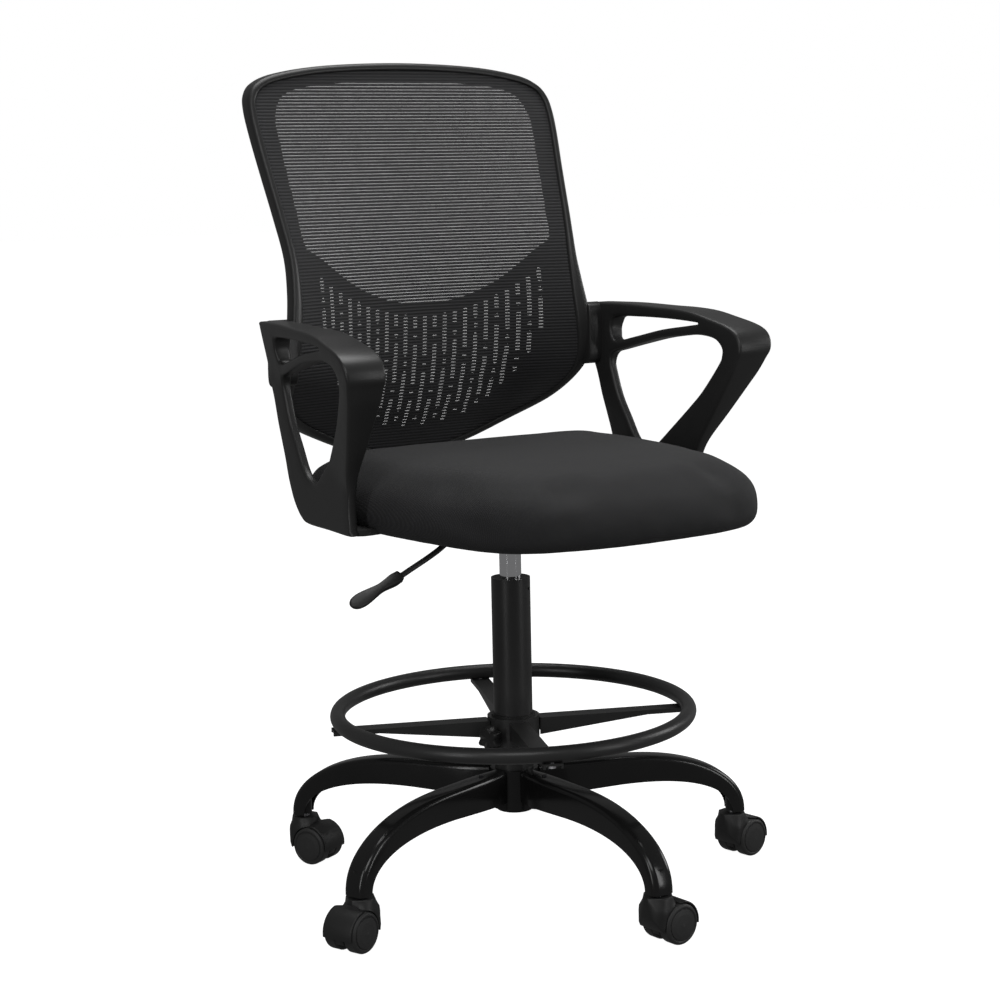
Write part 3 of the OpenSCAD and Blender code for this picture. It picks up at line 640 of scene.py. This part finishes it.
# %% Lumbar slots
def slot_loop(x, top, bottom, width=7.6, steps=5):
    """Round-ended slot, or a dot when top and bottom are one width apart."""
    r = width / 2
    loop = []
    for centre, start in ((top - r, 0.0), (bottom + r, math.pi)):
        for k in range(steps + 1):
            angle = start + math.pi * k / steps
            loop.append((x + r * math.cos(angle), centre + r * math.sin(angle)))
    return loop


def lumbar_slots():
    column_step, columns = 15.0, 11
    long_slot, dot, gap = 56.0, 7.2, 6.0
    period = long_slot + dot + 2 * gap
    loops = []
    for column in range(-columns, columns + 1):
        x = column * column_step
        top = 231 + 0.0021 * x * x
        bottom = 79 + 99 * abs(x / 153) ** 3
        start = top + (long_slot * 0.65 if column % 2 else 0.0)
        while start > bottom:
            for upper, lower in ((start, start - long_slot),
                                 (start - long_slot - gap, start - long_slot - gap - dot)):
                a, b = min(upper, top), max(lower, bottom)
                if a - b > dot - 0.5:
                    loops.append(slot_loop(x, a, b))
            start -= period
    return loops


slots = lumbar_slots()
print("lumbar panel:", len(slots), "slots and dots")

# %% [markdown]
# The shell is one plate with the window and all the slots as openings.


# %% Back shell
def back_shell():
    edge = inside_rim(rim_w - 0.5)
    front, thickness = 2.2, 2.8
    return plate([edge, window_line] + slots, lambda p: front, lambda p: front + thickness, 0.0,
                 11.0, on_back)


shell = piece("back_shell_panel", back_shell(), "seat", "black_plastic", 40.0, ["back_shell"])
print("shell:", len(shell.data.polygons), "faces")

# %% [markdown]
# ## The mesh
# The mesh is one sheet stretched over the rim, so it follows the back's surface exactly and hangs
# nowhere. Its ribs run straight across: every row of points lies at one height, and the rows rise
# and fall by a fraction of a millimetre to make the ribs. Its edge disappears into the groove.


# %% Back mesh
def width_at(loop, height):
    """Half width of a closed outline at a height."""
    reach = 0.0
    for (x0, z0), (x1, z1) in zip(loop, loop[1:] + loop[:1]):
        if (z0 > height) != (z1 > height):
            reach = max(reach, abs(x0 + (x1 - x0) * (height - z0) / (z1 - z0)))
    return reach


def back_mesh():
    rib_rows, columns, rib_h = 5, 44, 0.35
    edge = inside_rim(rim_w - 2.2)
    bottom = min(p[1] for p in edge) + 0.2
    top = max(p[1] for p in edge) - 0.2
    rows = int((top - bottom) / rib_mm * rib_rows)
    rings = []
    for j in range(rows + 1):
        height = bottom + (top - bottom) * j / rows
        half = max(width_at(edge, height), 0.5)
        rise = -rib_h * math.sin(2 * math.pi * (board_z + height) / rib_mm)
        rings.append([on_back((half * (2 * i / columns - 1), height), 0.4 + rise)
                      for i in range(columns + 1)])
    return loft(rings, ring_closed=False, ends=False)


sheet = piece("back_mesh_sheet", back_mesh(), "seat", "mesh_fabric", 80.0, ["back_mesh"])
sheet_area = sum(p.area for p in sheet.data.polygons)
print("mesh area", round(sheet_area, 4), "m2")

# %% [markdown]
# ## The arms
# Each arm is one moulding: a closed loop with a slim opening under the rest and a large one below.
# Seen from the side it is an outline with two openings; seen from the front it leans out towards
# the front bend, where the rest is widest. Both faces are simple slopes, so a plate with round
# edges gives the whole arm, and the foot under the board is a second, thin plate.


# %% Arm shape
def arm_inner_x(p):
    return seat_half_w + 14.0 * (165 - p[0]) / 309


def arm_outer_x(p):
    flare = 142.3 - 0.1686 * p[0] + 0.2021 * (p[1] + arm_top_z)
    return max(flare, arm_inner_x(p) + 12.0)


def arm_loops():
    """Outline and openings as (depth, height), with heights counted from the arm rest's top."""
    outline = [(164, -75), (165, -40), (165, -6), (158, -1), (120, 0), (76, 0), (20, -2), (-16, -3),
               (-52, -6), (-87, -13), (-114, -19), (-132, -25), (-142, -32), (-148, -42),
               (-149, -53), (-144, -63), (-135, -80), (-122, -99), (-96, -136), (-70, -172),
               (-62, -195), (-60, -218), (-62, -240), (-58, -246), (0, -246), (60, -246),
               (78, -241), (90, -232), (102, -218), (114, -195), (122, -172), (131, -150),
               (141, -126), (150, -99), (158, -82)]
    slim = [(108, -19), (60, -17), (0, -17), (-51, -19), (-66, -21), (-40, -25), (11, -32),
            (64, -43), (108, -51), (117, -40), (117, -28)]
    large = [(97, -63), (53, -52), (11, -43), (-51, -36), (-80, -36), (-100, -40), (-112, -50),
             (-112, -60), (-108, -68), (-90, -89), (-70, -110), (-50, -127), (-29, -144),
             (-5, -163), (14, -178), (34, -192), (52, -190), (68, -178), (84, -154), (102, -127),
             (114, -98), (119, -80), (114, -68)]
    return [[(p.x, p.y) for p in curve_through(loop, 4, closed=True)]
            for loop in (outline, slim, large)]


def arm_shape():
    def place(p, x):
        return (x, p[0], arm_top_z + p[1])

    loop = plate(arm_loops(), arm_outer_x, arm_inner_x, 4.2, 12.0, place, steps=4)
    pad_y = high("arm_left", 1)
    pad = [(p.x, p.y) for p in curve_through(
        [(pad_y, -4), (pad_y, -40), (pad_y, -78), (pad_y - 13, -84), (pad_y - 26, -76),
         (pad_y - 28, -40), (pad_y - 26, -6), (pad_y - 13, -2)], 4, closed=True)]
    root = plate([pad], lambda p: seat_half_w + 12.0, lambda p: back_half_w - 9.0, 2.0, 14.0, place)
    foot_low = board_z - 7
    foot = [(p.x, p.y) for p in curve_through(
        [(172, -62), (210, -62), (250, -60), (253, -6), (250, 56), (210, 62), (172, 62),
         (168, 56), (168, 0), (168, -56)], 4, closed=True)]
    under = plate([foot], lambda p: foot_low, lambda p: foot_low + 7.0, 0.0, 14.0,
                  lambda p, z: (p[0], p[1], z))
    return join(loop, root, under)


arm = arm_shape()
heads = []
for side in (-1, 1):
    for y in (-32.0, 32.0):
        disc = lathe([(0, -4), (4.6, -4), (5.5, -3.2), (5.5, 0), (0, 0)], 24)
        heads.append(([(v[0] + side * (seat_half_w - 50.0), v[1] + y, v[2] + board_z - 7.0)
                       for v in disc[0]], disc[1]))
piece("arm_screw_heads", join(*heads), "seat", "bright_steel", 40.0, ["arm_screws"])
piece("arm_left_moulding", arm, "seat", "arm_plastic", 40.0, ["arm_left"])
piece("arm_right_moulding", mirrored(arm), "seat", "arm_plastic", 40.0, ["arm_right"])
print("arms:", len(arm[0]), "points each")

# %% [markdown]
# ## The cushion
# The seat is moulded foam under a stretched cover: a crowned top, a front that rolls over, sides
# that bulge a little, and cloth wrapped under the board's edge. It starts as stacked outlines, is
# remeshed into even squares, and is then blown up a few millimetres as cloth, which rounds it the
# way a tight cover does. Points under the board stay where they are.

# %% Cushion outline
cushion_outline = [(0, 160), (110, 160), (180, 157), (217, 141), (235, 108), (239, 50), (239, -20),
                   (235, -90), (225, -160), (212, -220), (196, -265), (166, -301), (118, -319),
                   (60, -326), (0, -328)]


def cushion_start():
    levels = [(-1.5, 70), (-3, 46), (-11, 34), (-12, 24), (-6, 12), (6, 5), (20, 0), (32, -1),
              (43, 3), (51, 12), (57, 28), (61, 52), (64, 84), (65.5, 124)]
    loop = whole(cushion_outline, 6)
    rings = []
    for height, inset in levels:
        shrink = moved_in(loop, min(inset, 40))
        scale = 1 - max(inset - 40, 0) / 200
        rings.append([(x * scale, (y + 84) * scale - 84, board_z + height) for x, y in shrink])
    return loft(rings)


cushion = piece("seat_cushion", cushion_start(), "seat", "seat_fabric", 180.0,
                ["seat_cover", "seat_foam"])
print("cushion starts with", len(cushion.data.vertices), "points")


# %% [markdown]
# The simulation uses Blender's Cloth with inner pressure and no gravity. How far a point may move
# is capped, so the cushion keeps its size, and the result is written into the mesh.


# %% Cushion simulation
def baked(obj):
    """Applies every modifier of an object to its mesh."""
    graph = bpy.context.evaluated_depsgraph_get()
    graph.update()
    done = bpy.data.meshes.new_from_object(obj.evaluated_get(graph), depsgraph=graph)
    obj.modifiers.clear()
    obj.data = done


def remeshed(obj, voxel_mm):
    remesh = obj.modifiers.new("even squares", "REMESH")
    remesh.mode = "VOXEL"
    remesh.voxel_size = voxel_mm * MM
    remesh.use_smooth_shade = True
    baked(obj)


def inflate(obj, pressure, cap_mm, pinned_below):
    start = [v.co.copy() for v in obj.data.vertices]
    held = obj.vertex_groups.new(name="held")
    held.add([i for i, co in enumerate(start) if co.z < pinned_below], 1.0, "REPLACE")
    cloth = obj.modifiers.new("Cloth", "CLOTH")
    cloth.settings.use_pressure = True
    cloth.settings.uniform_pressure_force = pressure
    cloth.settings.effector_weights.gravity = 0
    cloth.settings.vertex_group_mass = held.name
    cloth.point_cache.frame_start, cloth.point_cache.frame_end = 1, 20
    for step in range(1, 21):
        scene.frame_set(step)
    graph = bpy.context.evaluated_depsgraph_get()
    blown = [v.co.copy() for v in obj.evaluated_get(graph).data.vertices]
    obj.modifiers.clear()
    scene.frame_set(1)
    for vertex, a, b in zip(obj.data.vertices, start, blown):
        move = b - a
        limit = cap_mm * MM
        vertex.co = a + (move if move.length < limit else move.normalized() * limit)
    taut = obj.modifiers.new("taut", "SMOOTH")
    taut.factor, taut.iterations = 0.5, 40
    baked(obj)


remeshed(cushion, 5.0)
inflate(cushion, 4.0, 12.0, (board_z + 4) * MM)
print("cushion has", len(cushion.data.vertices), "points")

# %% [markdown]
# A real cover is never perfectly even. Low, wide noise leaves the faint hollows of sat-on foam,
# and short ripples along the lower edge are where the cloth is gathered under the board.


# %% Cushion creases
def crease(obj):
    for vertex in obj.data.vertices:
        co = vertex.co
        height = co.z / MM - board_z
        hollow = noise.noise(co * 9.0) * 0.8
        around = math.atan2(co.y + 0.08, co.x)
        gather = max(0.0, 1 - abs(height - 6) / 18)
        ripple = noise.noise(Vector((around * 11, height * 0.01, 3.0))) * 0.9 * gather
        vertex.co += vertex.normal * (hollow + ripple) * MM


crease(cushion)
smooth = cushion.modifiers.new("round", "SUBSURF")
smooth.levels = smooth.render_levels = 1
baked(cushion)
cushion.data.shade_smooth()
print("cushion top at", round(max(v.co.z for v in cushion.data.vertices) / MM, 1), "mm")

# %% [markdown]
# ## The legs
# Each leg is pressed from one strip of steel into a deep channel that is open below. From the side
# it runs level out of the hub and then bends down in a squared-off quarter oval. A section with
# rounded shoulders is carried along that bend, between the upper and the lower oval.


# %% Legs
def oval(centre_r, centre_z, across, up, t, power=2.2):
    """Point on a squared-off oval, t from 0 (top) to 1 (outer end)."""
    angle = math.pi / 2 * (1 - t)
    return Vector((centre_r + across * abs(math.cos(angle)) ** (2 / power),
                   centre_z + up * abs(math.sin(angle)) ** (2 / power)))


def leg_section(top, bottom, half_w, wall, shoulder):
    """Channel section between a top and a bottom point, as (radius, across, height) points."""
    down = bottom - top
    depth = down.length
    down.normalize()
    outer = [(half_w - 0.2, depth)]
    for k in range(6):
        angle = math.pi / 2 * k / 5
        outer.append((half_w - shoulder + shoulder * math.cos(angle),
                      shoulder - shoulder * math.sin(angle)))
    inner = [(half_w - wall - 0.6, depth), (half_w - wall - 0.6, shoulder), (half_w - shoulder, wall)]
    half = outer + [(0.0, 0.0)]
    section = half + [(-y, d) for y, d in outer[::-1]]
    section += [(-y, d) for y, d in inner] + [(y, d) for y, d in inner[::-1]]
    return [(top.x + down.x * d, y, top.y + down.y * d) for y, d in section]


def leg_shape():
    hub_r, bend_r, end_z = 31.0, 138.0, low("base_leg_1", 2)
    out_r = reach("base_leg_1") - 4.0
    rings = []
    for k in range(9):
        r = hub_r + (bend_r - hub_r) * k / 9
        narrow = 5 * max(0.0, 1 - (r - hub_r) / 60) ** 2
        foot = Vector((r, leg_top_z - 42 + 6 * k / 9))
        rings.append(leg_section(Vector((r, leg_top_z)), foot, 16 - narrow, 2, 7))
    for k in range(25):
        t = k / 24
        top = oval(bend_r, end_z, out_r - bend_r, leg_top_z - end_z, t)
        bottom = oval(bend_r + 36, end_z, out_r - bend_r - 55, leg_top_z - end_z - 32, t, 2.1)
        bottom += Vector((-36, -4)) * (1 - t) ** 3
        rings.append(leg_section(top, bottom, 16 - 0.5 * t, 2, 7 + t))
    return loft(rings)


leg_mesh = leg_shape()
for number in range(1, 6):
    name = "base_leg_%d" % number
    stem_lo, stem_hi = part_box("caster_%d_stem" % number)
    middle = (stem_lo + stem_hi) / 2
    turn = Matrix.Rotation(math.atan2(middle.y, middle.x), 4, "Z")
    piece("leg_%d_pressing" % number, leg_mesh, body_of(name), "gloss_black_paint", 40.0, [name], turn)
print("legs placed on the caster stems")

# %% [markdown]
# A plain tube in the end of each leg takes the caster's stem.

# %% Stem sockets
socket_r = 8.5
tubes = []
for number in range(1, 6):
    middle = sum(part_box("caster_%d_stem" % number), Vector()) / 2 / MM
    profile = [(5.6, low("stem_sockets", 2)), (socket_r, low("stem_sockets", 2)),
               (socket_r, high("stem_sockets", 2)), (5.6, high("stem_sockets", 2)),
               (5.6, low("stem_sockets", 2))]
    verts, faces = lathe(profile, 32)
    tubes.append(([(x + middle.x, y + middle.y, z) for x, y, z in verts], faces))
piece("stem_socket_tubes", join(*tubes), "base", "gloss_black_paint", 40.0, ["stem_sockets"])
print("sockets:", len(tubes))

# %% [markdown]
# ## Caster hoods
# A hood is one moulding: an upright collar that takes the stem, a fender that wraps over both
# wheels, and a rib between them that holds the axle. The fender is an outline seen from the side,
# cut away where the wheels are, and as wide as both wheels; the rib fills the middle.


# %% Hoods
def hood_shape():
    wheel_r, trail, wall, collar_r = 25.0, 19.0, 3.4, 19.0
    collar_top = high("caster_1_hood", 2)
    reach = wheel_r + wall

    def rim_point(angle, r):
        a = math.radians(angle)
        return (trail + r * math.cos(a), wheel_r + r * math.sin(a))

    fender = [(-collar_r, 36), (-collar_r, 52), (-collar_r, collar_top), (-6, collar_top),
              (6, collar_top), (collar_r, collar_top), (collar_r, 55)]
    fender += [rim_point(a, reach) for a in range(80, -9, -8)]
    fender += [rim_point(a, wheel_r + 0.9) for a in range(-8, 183, 8)]
    fender += [(-9.5, 20), (-14, 26)]

    def half_width(p):
        round_collar = math.sqrt(max(collar_r ** 2 - min(abs(p[0]), collar_r - 0.3) ** 2, 1.0))
        share = min(max((p[1] - 46) / 9, 0.0), 1.0)
        if p[0] > collar_r:
            share = 0.0
        front = math.sqrt(max(21.5 ** 2 - max(-8 - p[0], 0.0) ** 2 * 3.2, 64.0))
        return front + (round_collar - front) * share * share * (3 - 2 * share)

    def place(p, y):
        return (p[0], y, p[1])

    shell_part = plate([fender], half_width, lambda p: -half_width(p), 1.2, 6.0, place)
    rib = [rim_point(a, wheel_r - 0.4) for a in range(-30, 211, 10)] + [rim_point(-90, 6)]
    rib_part = plate([rib], lambda p: 6.0, lambda p: -6.0, 0.8, 8.0, place)
    return join(shell_part, rib_part)


hood_mesh = hood_shape()
for number in range(1, 6):
    name = "caster_%d_hood" % number
    stem = sum(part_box("caster_%d_stem" % number), Vector()) / 2
    axle = sum(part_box("caster_%d_axle" % number), Vector()) / 2
    turn = Matrix.Rotation(math.atan2(axle.y - stem.y, axle.x - stem.x), 4, "Z")
    shift = Matrix.Translation(Vector((stem.x, stem.y, 0)))
    piece("hood_%d_moulding" % number, hood_mesh, body_of(name), "caster_plastic", 40.0, [name],
          shift @ turn)
print("hoods:", len(hood_mesh[0]), "points each")

# %% [markdown]
# ## The foot ring
# A tube bent into a circle. A ring of rings, closed on itself, is all it needs, with enough steps
# that its silhouette stays round.


# %% Foot ring
def ring_shape():
    outer = high("foot_ring", 0)
    tube = high("foot_ring", 2) - ring_z
    rings = []
    for i in range(160):
        turn = 2 * math.pi * i / 160
        rings.append([((outer - tube + tube * math.cos(a)) * math.cos(turn),
                       (outer - tube + tube * math.cos(a)) * math.sin(turn),
                       ring_z + tube * math.sin(a))
                      for a in (2 * math.pi * k / 24 for k in range(24))])
    return loft(rings, loop=True)


piece("foot_ring_tube", ring_shape(), body_of("foot_ring"), "satin_black_paint", 60.0, ["foot_ring"])
print("foot ring ready")

# %% [markdown]
# ## The lever
# The height lever is a bent steel rod with a flat plastic paddle. The rod's path follows the
# mechanical one, smoothed at its bends. The paddle is a plate with a waist and a round tip, rolled
# a little about its own length.


# %% Lever
def tube_along(path, radius, sides=14):
    rings = []
    for i, here in enumerate(path):
        along = (path[min(i + 1, len(path) - 1)] - path[max(i - 1, 0)]).normalized()
        side = along.cross(Vector((0, 0, 1))).normalized()
        up = side.cross(along)
        rings.append([here + side * radius * math.cos(a) + up * radius * math.sin(a)
                      for a in (2 * math.pi * k / sides for k in range(sides))])
    return loft(rings)


pivot = sum(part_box("lever_pin"), Vector()) / 2 / MM
rod_path = [Vector((4, 0, pivot.z)), pivot, Vector((-92, -14, pivot.z - 3)),
            Vector((-150, -92, pivot.z - 12)), Vector((-212, -110, pivot.z - 35)),
            Vector((-223.2, -112.8, pivot.z - 38.5)), Vector((-244, -118, pivot.z - 45))]
rod_curve = curve_through(rod_path, 8)
barrel = lathe([(3.1, -9), (6, -9), (6, 9), (3.1, 9), (3.1, -9)], 32)
upright = [(x + pivot.x, -z, y + pivot.z) for x, y, z in barrel[0]]
piece("lever_rod_bent", join(tube_along(rod_curve, 3.5), (upright, barrel[1])), "lever",
      "satin_black_paint", 50.0, ["lever_rod"])


def paddle_shape():
    half = [(0, 5.4), (4, 6.6), (12, 7.0), (24, 5.8), (34, 5.4), (46, 7.0), (58, 8.8), (68, 9.2),
            (76, 7.6), (81, 3.2)]
    outline = [(p.x, p.y) for p in curve_through(half + [(x, -y) for x, y in half[::-1]], 4, closed=True)]
    depth = [(0, 5.6), (14, 5.6), (30, 4.4), (60, 3.6), (82, 2.6)]

    def thick(p):
        return reading(depth, min(max(p[0], 0.5), 81.5)) * math.sqrt(max(1 - (p[1] / 14) ** 2, 0.3))

    return plate([outline], thick, lambda p: -thick(p), 2.0, 5.0, lambda p, z: (p[0], p[1], z))


start = rod_path[5]
tip = rod_path[6] - start
paddle_roll = math.radians(-40)
level = math.hypot(tip.x, tip.y)
lay = (Matrix.Translation(start * MM) @ Matrix.Rotation(math.atan2(tip.y, tip.x), 4, "Z")
       @ Matrix.Rotation(-math.atan2(tip.z, level), 4, "Y")
       @ Matrix.Rotation(paddle_roll, 4, "X"))
piece("lever_paddle", paddle_shape(), "lever", "black_plastic", 45.0, ["lever_handle"], lay)
print("lever ready")

# %% [markdown]
# ## The clamp knob
# The knob that locks the foot ring has six lobes and a dished face. Its radius waves with the
# angle, and a few rings from hub to face round its edges.


# %% Knob
def knob_shape():
    lobes, r, h = 6, 16.5, 18.0
    rings = []
    for share, z in ((0.0, 0), (0.62, 0), (0.78, 2), (0.93, 4), (1.0, 8), (1.0, h - 4),
                     (0.95, h - 1.2), (0.82, h), (0.55, h - 1), (0.3, h - 2), (0.0, h - 2)):
        rings.append([((r - 2.4 + 2.4 * math.cos(lobes * a)) * share * math.cos(a),
                       (r - 2.4 + 2.4 * math.cos(lobes * a)) * share * math.sin(a), z)
                      for a in (2 * math.pi * k / 72 for k in range(72))])
    stud = lathe([(0, -13), (4, -13), (4, 1), (0, 1)], 24)
    return join(loft(rings, ends=False), stud)


knob_middle = sum(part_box("clamp_knob"), Vector()) / 2
knob_turn = math.atan2(knob_middle.y, knob_middle.x)
hub_r = high("ring_hub", 0)
knob_place = (Matrix.Rotation(knob_turn, 4, "Z")
              @ Matrix.Translation(Vector((hub_r + 6, 0, knob_middle.z / MM)) * MM)
              @ Matrix.Rotation(math.pi / 2, 4, "Y"))
piece("clamp_knob_lobed", knob_shape(), "knob", "black_plastic", 45.0, ["clamp_knob"], knob_place)
print("knob ready")

# %% [markdown]
# ## Pieces kept from the mechanical model
# Tubes, hubs, screws and wheels already have the right shape. They only need their finish, and
# soft shading on round faces with sharp edges kept sharp.

# %% Finish the kept pieces
slot_of = {row["node"]: row["material_slot"] for row in frame["record"]["subparts"]}
for name, obj in nodes.items():
    if obj.hide_render:
        continue
    obj.data.materials.clear()
    obj.data.materials.append(finishes[slot_of[name]].material)
    obj.data.shade_smooth()
    obj.data.set_sharp_from_angle(angle=math.radians(32))
print("kept pieces finished")

# %% [markdown]
# ## Studio
# A plain white floor and surround, and large soft lamps: one high in front, one overhead, one low
# on the right, and two tall strips beside the camera. Large lamps give a black object long soft
# highlights, which is what shows its shape. The surround is white where the camera sees it and
# dim where the object reflects it, and the floor shows to the camera only.


# %% Floor and lights
def area_light(name, place, target, size, power, height=0.0):
    data = bpy.data.lights.new(name, "AREA")
    data.shape = "RECTANGLE" if height else "DISK"
    data.size = size
    if height:
        data.size_y = height
    data.energy = power
    lamp = bpy.data.objects.new(name, data)
    lamp.location = place
    lamp.rotation_euler = (Vector(target) - Vector(place)).to_track_quat("-Z", "Y").to_euler()
    scene.collection.objects.link(lamp)


floor_mesh = bpy.data.meshes.new("floor")
floor_mesh.from_pydata([(-30, -30, 0), (30, -30, 0), (30, 30, 0), (-30, 30, 0)], [], [(0, 1, 2, 3)])
floor = bpy.data.objects.new("floor", floor_mesh)
scene.collection.objects.link(floor)
finishes["floor"] = Finish("floor", (0.3, 0.3, 0.3), 0.9, Emission_Color=(1, 1, 1),
                           Emission_Strength=0.97)
floor_mesh.materials.append(finishes["floor"].material)
floor.visible_diffuse = floor.visible_glossy = False

world = bpy.data.worlds.new("studio")
world.use_nodes = True
tree = world.node_tree
backdrop = tree.nodes["Background"]
backdrop.inputs["Color"].default_value = (1, 1, 1, 1)
seen = tree.nodes.new("ShaderNodeLightPath").outputs["Is Camera Ray"]
strength = tree.nodes.new("ShaderNodeMapRange")
tree.links.new(seen, strength.inputs["Value"])
reflected, shown = 0.16, 1.0
strength.inputs["To Min"].default_value = reflected
strength.inputs["To Max"].default_value = shown
tree.links.new(strength.outputs["Result"], backdrop.inputs["Strength"])
scene.world = world
scene.view_settings.view_transform = "Standard"
area_light("key", (-1.6, -2.8, 3.0), (0, 0, 0.6), 1.8, 42)
area_light("top", (0.3, 0.4, 3.4), (0, 0, 0.5), 2.4, 75)
area_light("side", (3.0, -0.8, 1.4), (0, 0, 0.6), 1.4, 26)
area_light("strip_left", (-2.4, -1.1, 0.9), (0, 0, 0.6), 0.35, 16, 1.8)
area_light("strip_right", (1.3, -2.4, 0.9), (0, 0, 0.6), 0.3, 14, 1.8)
print("studio ready")

# %% [markdown]
# ## Camera
# A long lens stands well back, a little above the seat, looking down slightly from the sitter's
# right front.

# %% Camera
azimuth = math.radians(32.0)
stand_off, eye_h = 2.720987, 0.909381
aside, tilt, roll = 0.00416, 0.14977, -0.02068
right = Vector((math.cos(aside), math.sin(aside), 0))
ahead = Vector((-math.sin(aside), math.cos(aside), 0))
up = Vector((0, 0, 1))
look = ahead * math.cos(tilt) - up * math.sin(tilt)
head = up * math.cos(tilt) + ahead * math.sin(tilt)
right_rolled = right * math.cos(roll) + head * math.sin(roll)
head_rolled = head * math.cos(roll) - right * math.sin(roll)
spin = Matrix.Rotation(-azimuth, 3, "Z")
axes = [spin @ v for v in (right_rolled, head_rolled, -look)]
camera_data = bpy.data.cameras.new("camera")
camera_data.sensor_width = 36.0
camera_data.lens = 36.0 * 2.172684
camera = bpy.data.objects.new("camera", camera_data)
matrix = Matrix([[axes[c][r] for c in range(3)] for r in range(3)]).to_4x4()
matrix.translation = spin @ Vector((0, -stand_off, eye_h))
camera.matrix_world = matrix
scene.collection.objects.link(camera)
scene.camera = camera
print("camera at", [round(c, 3) for c in camera.matrix_world.translation])
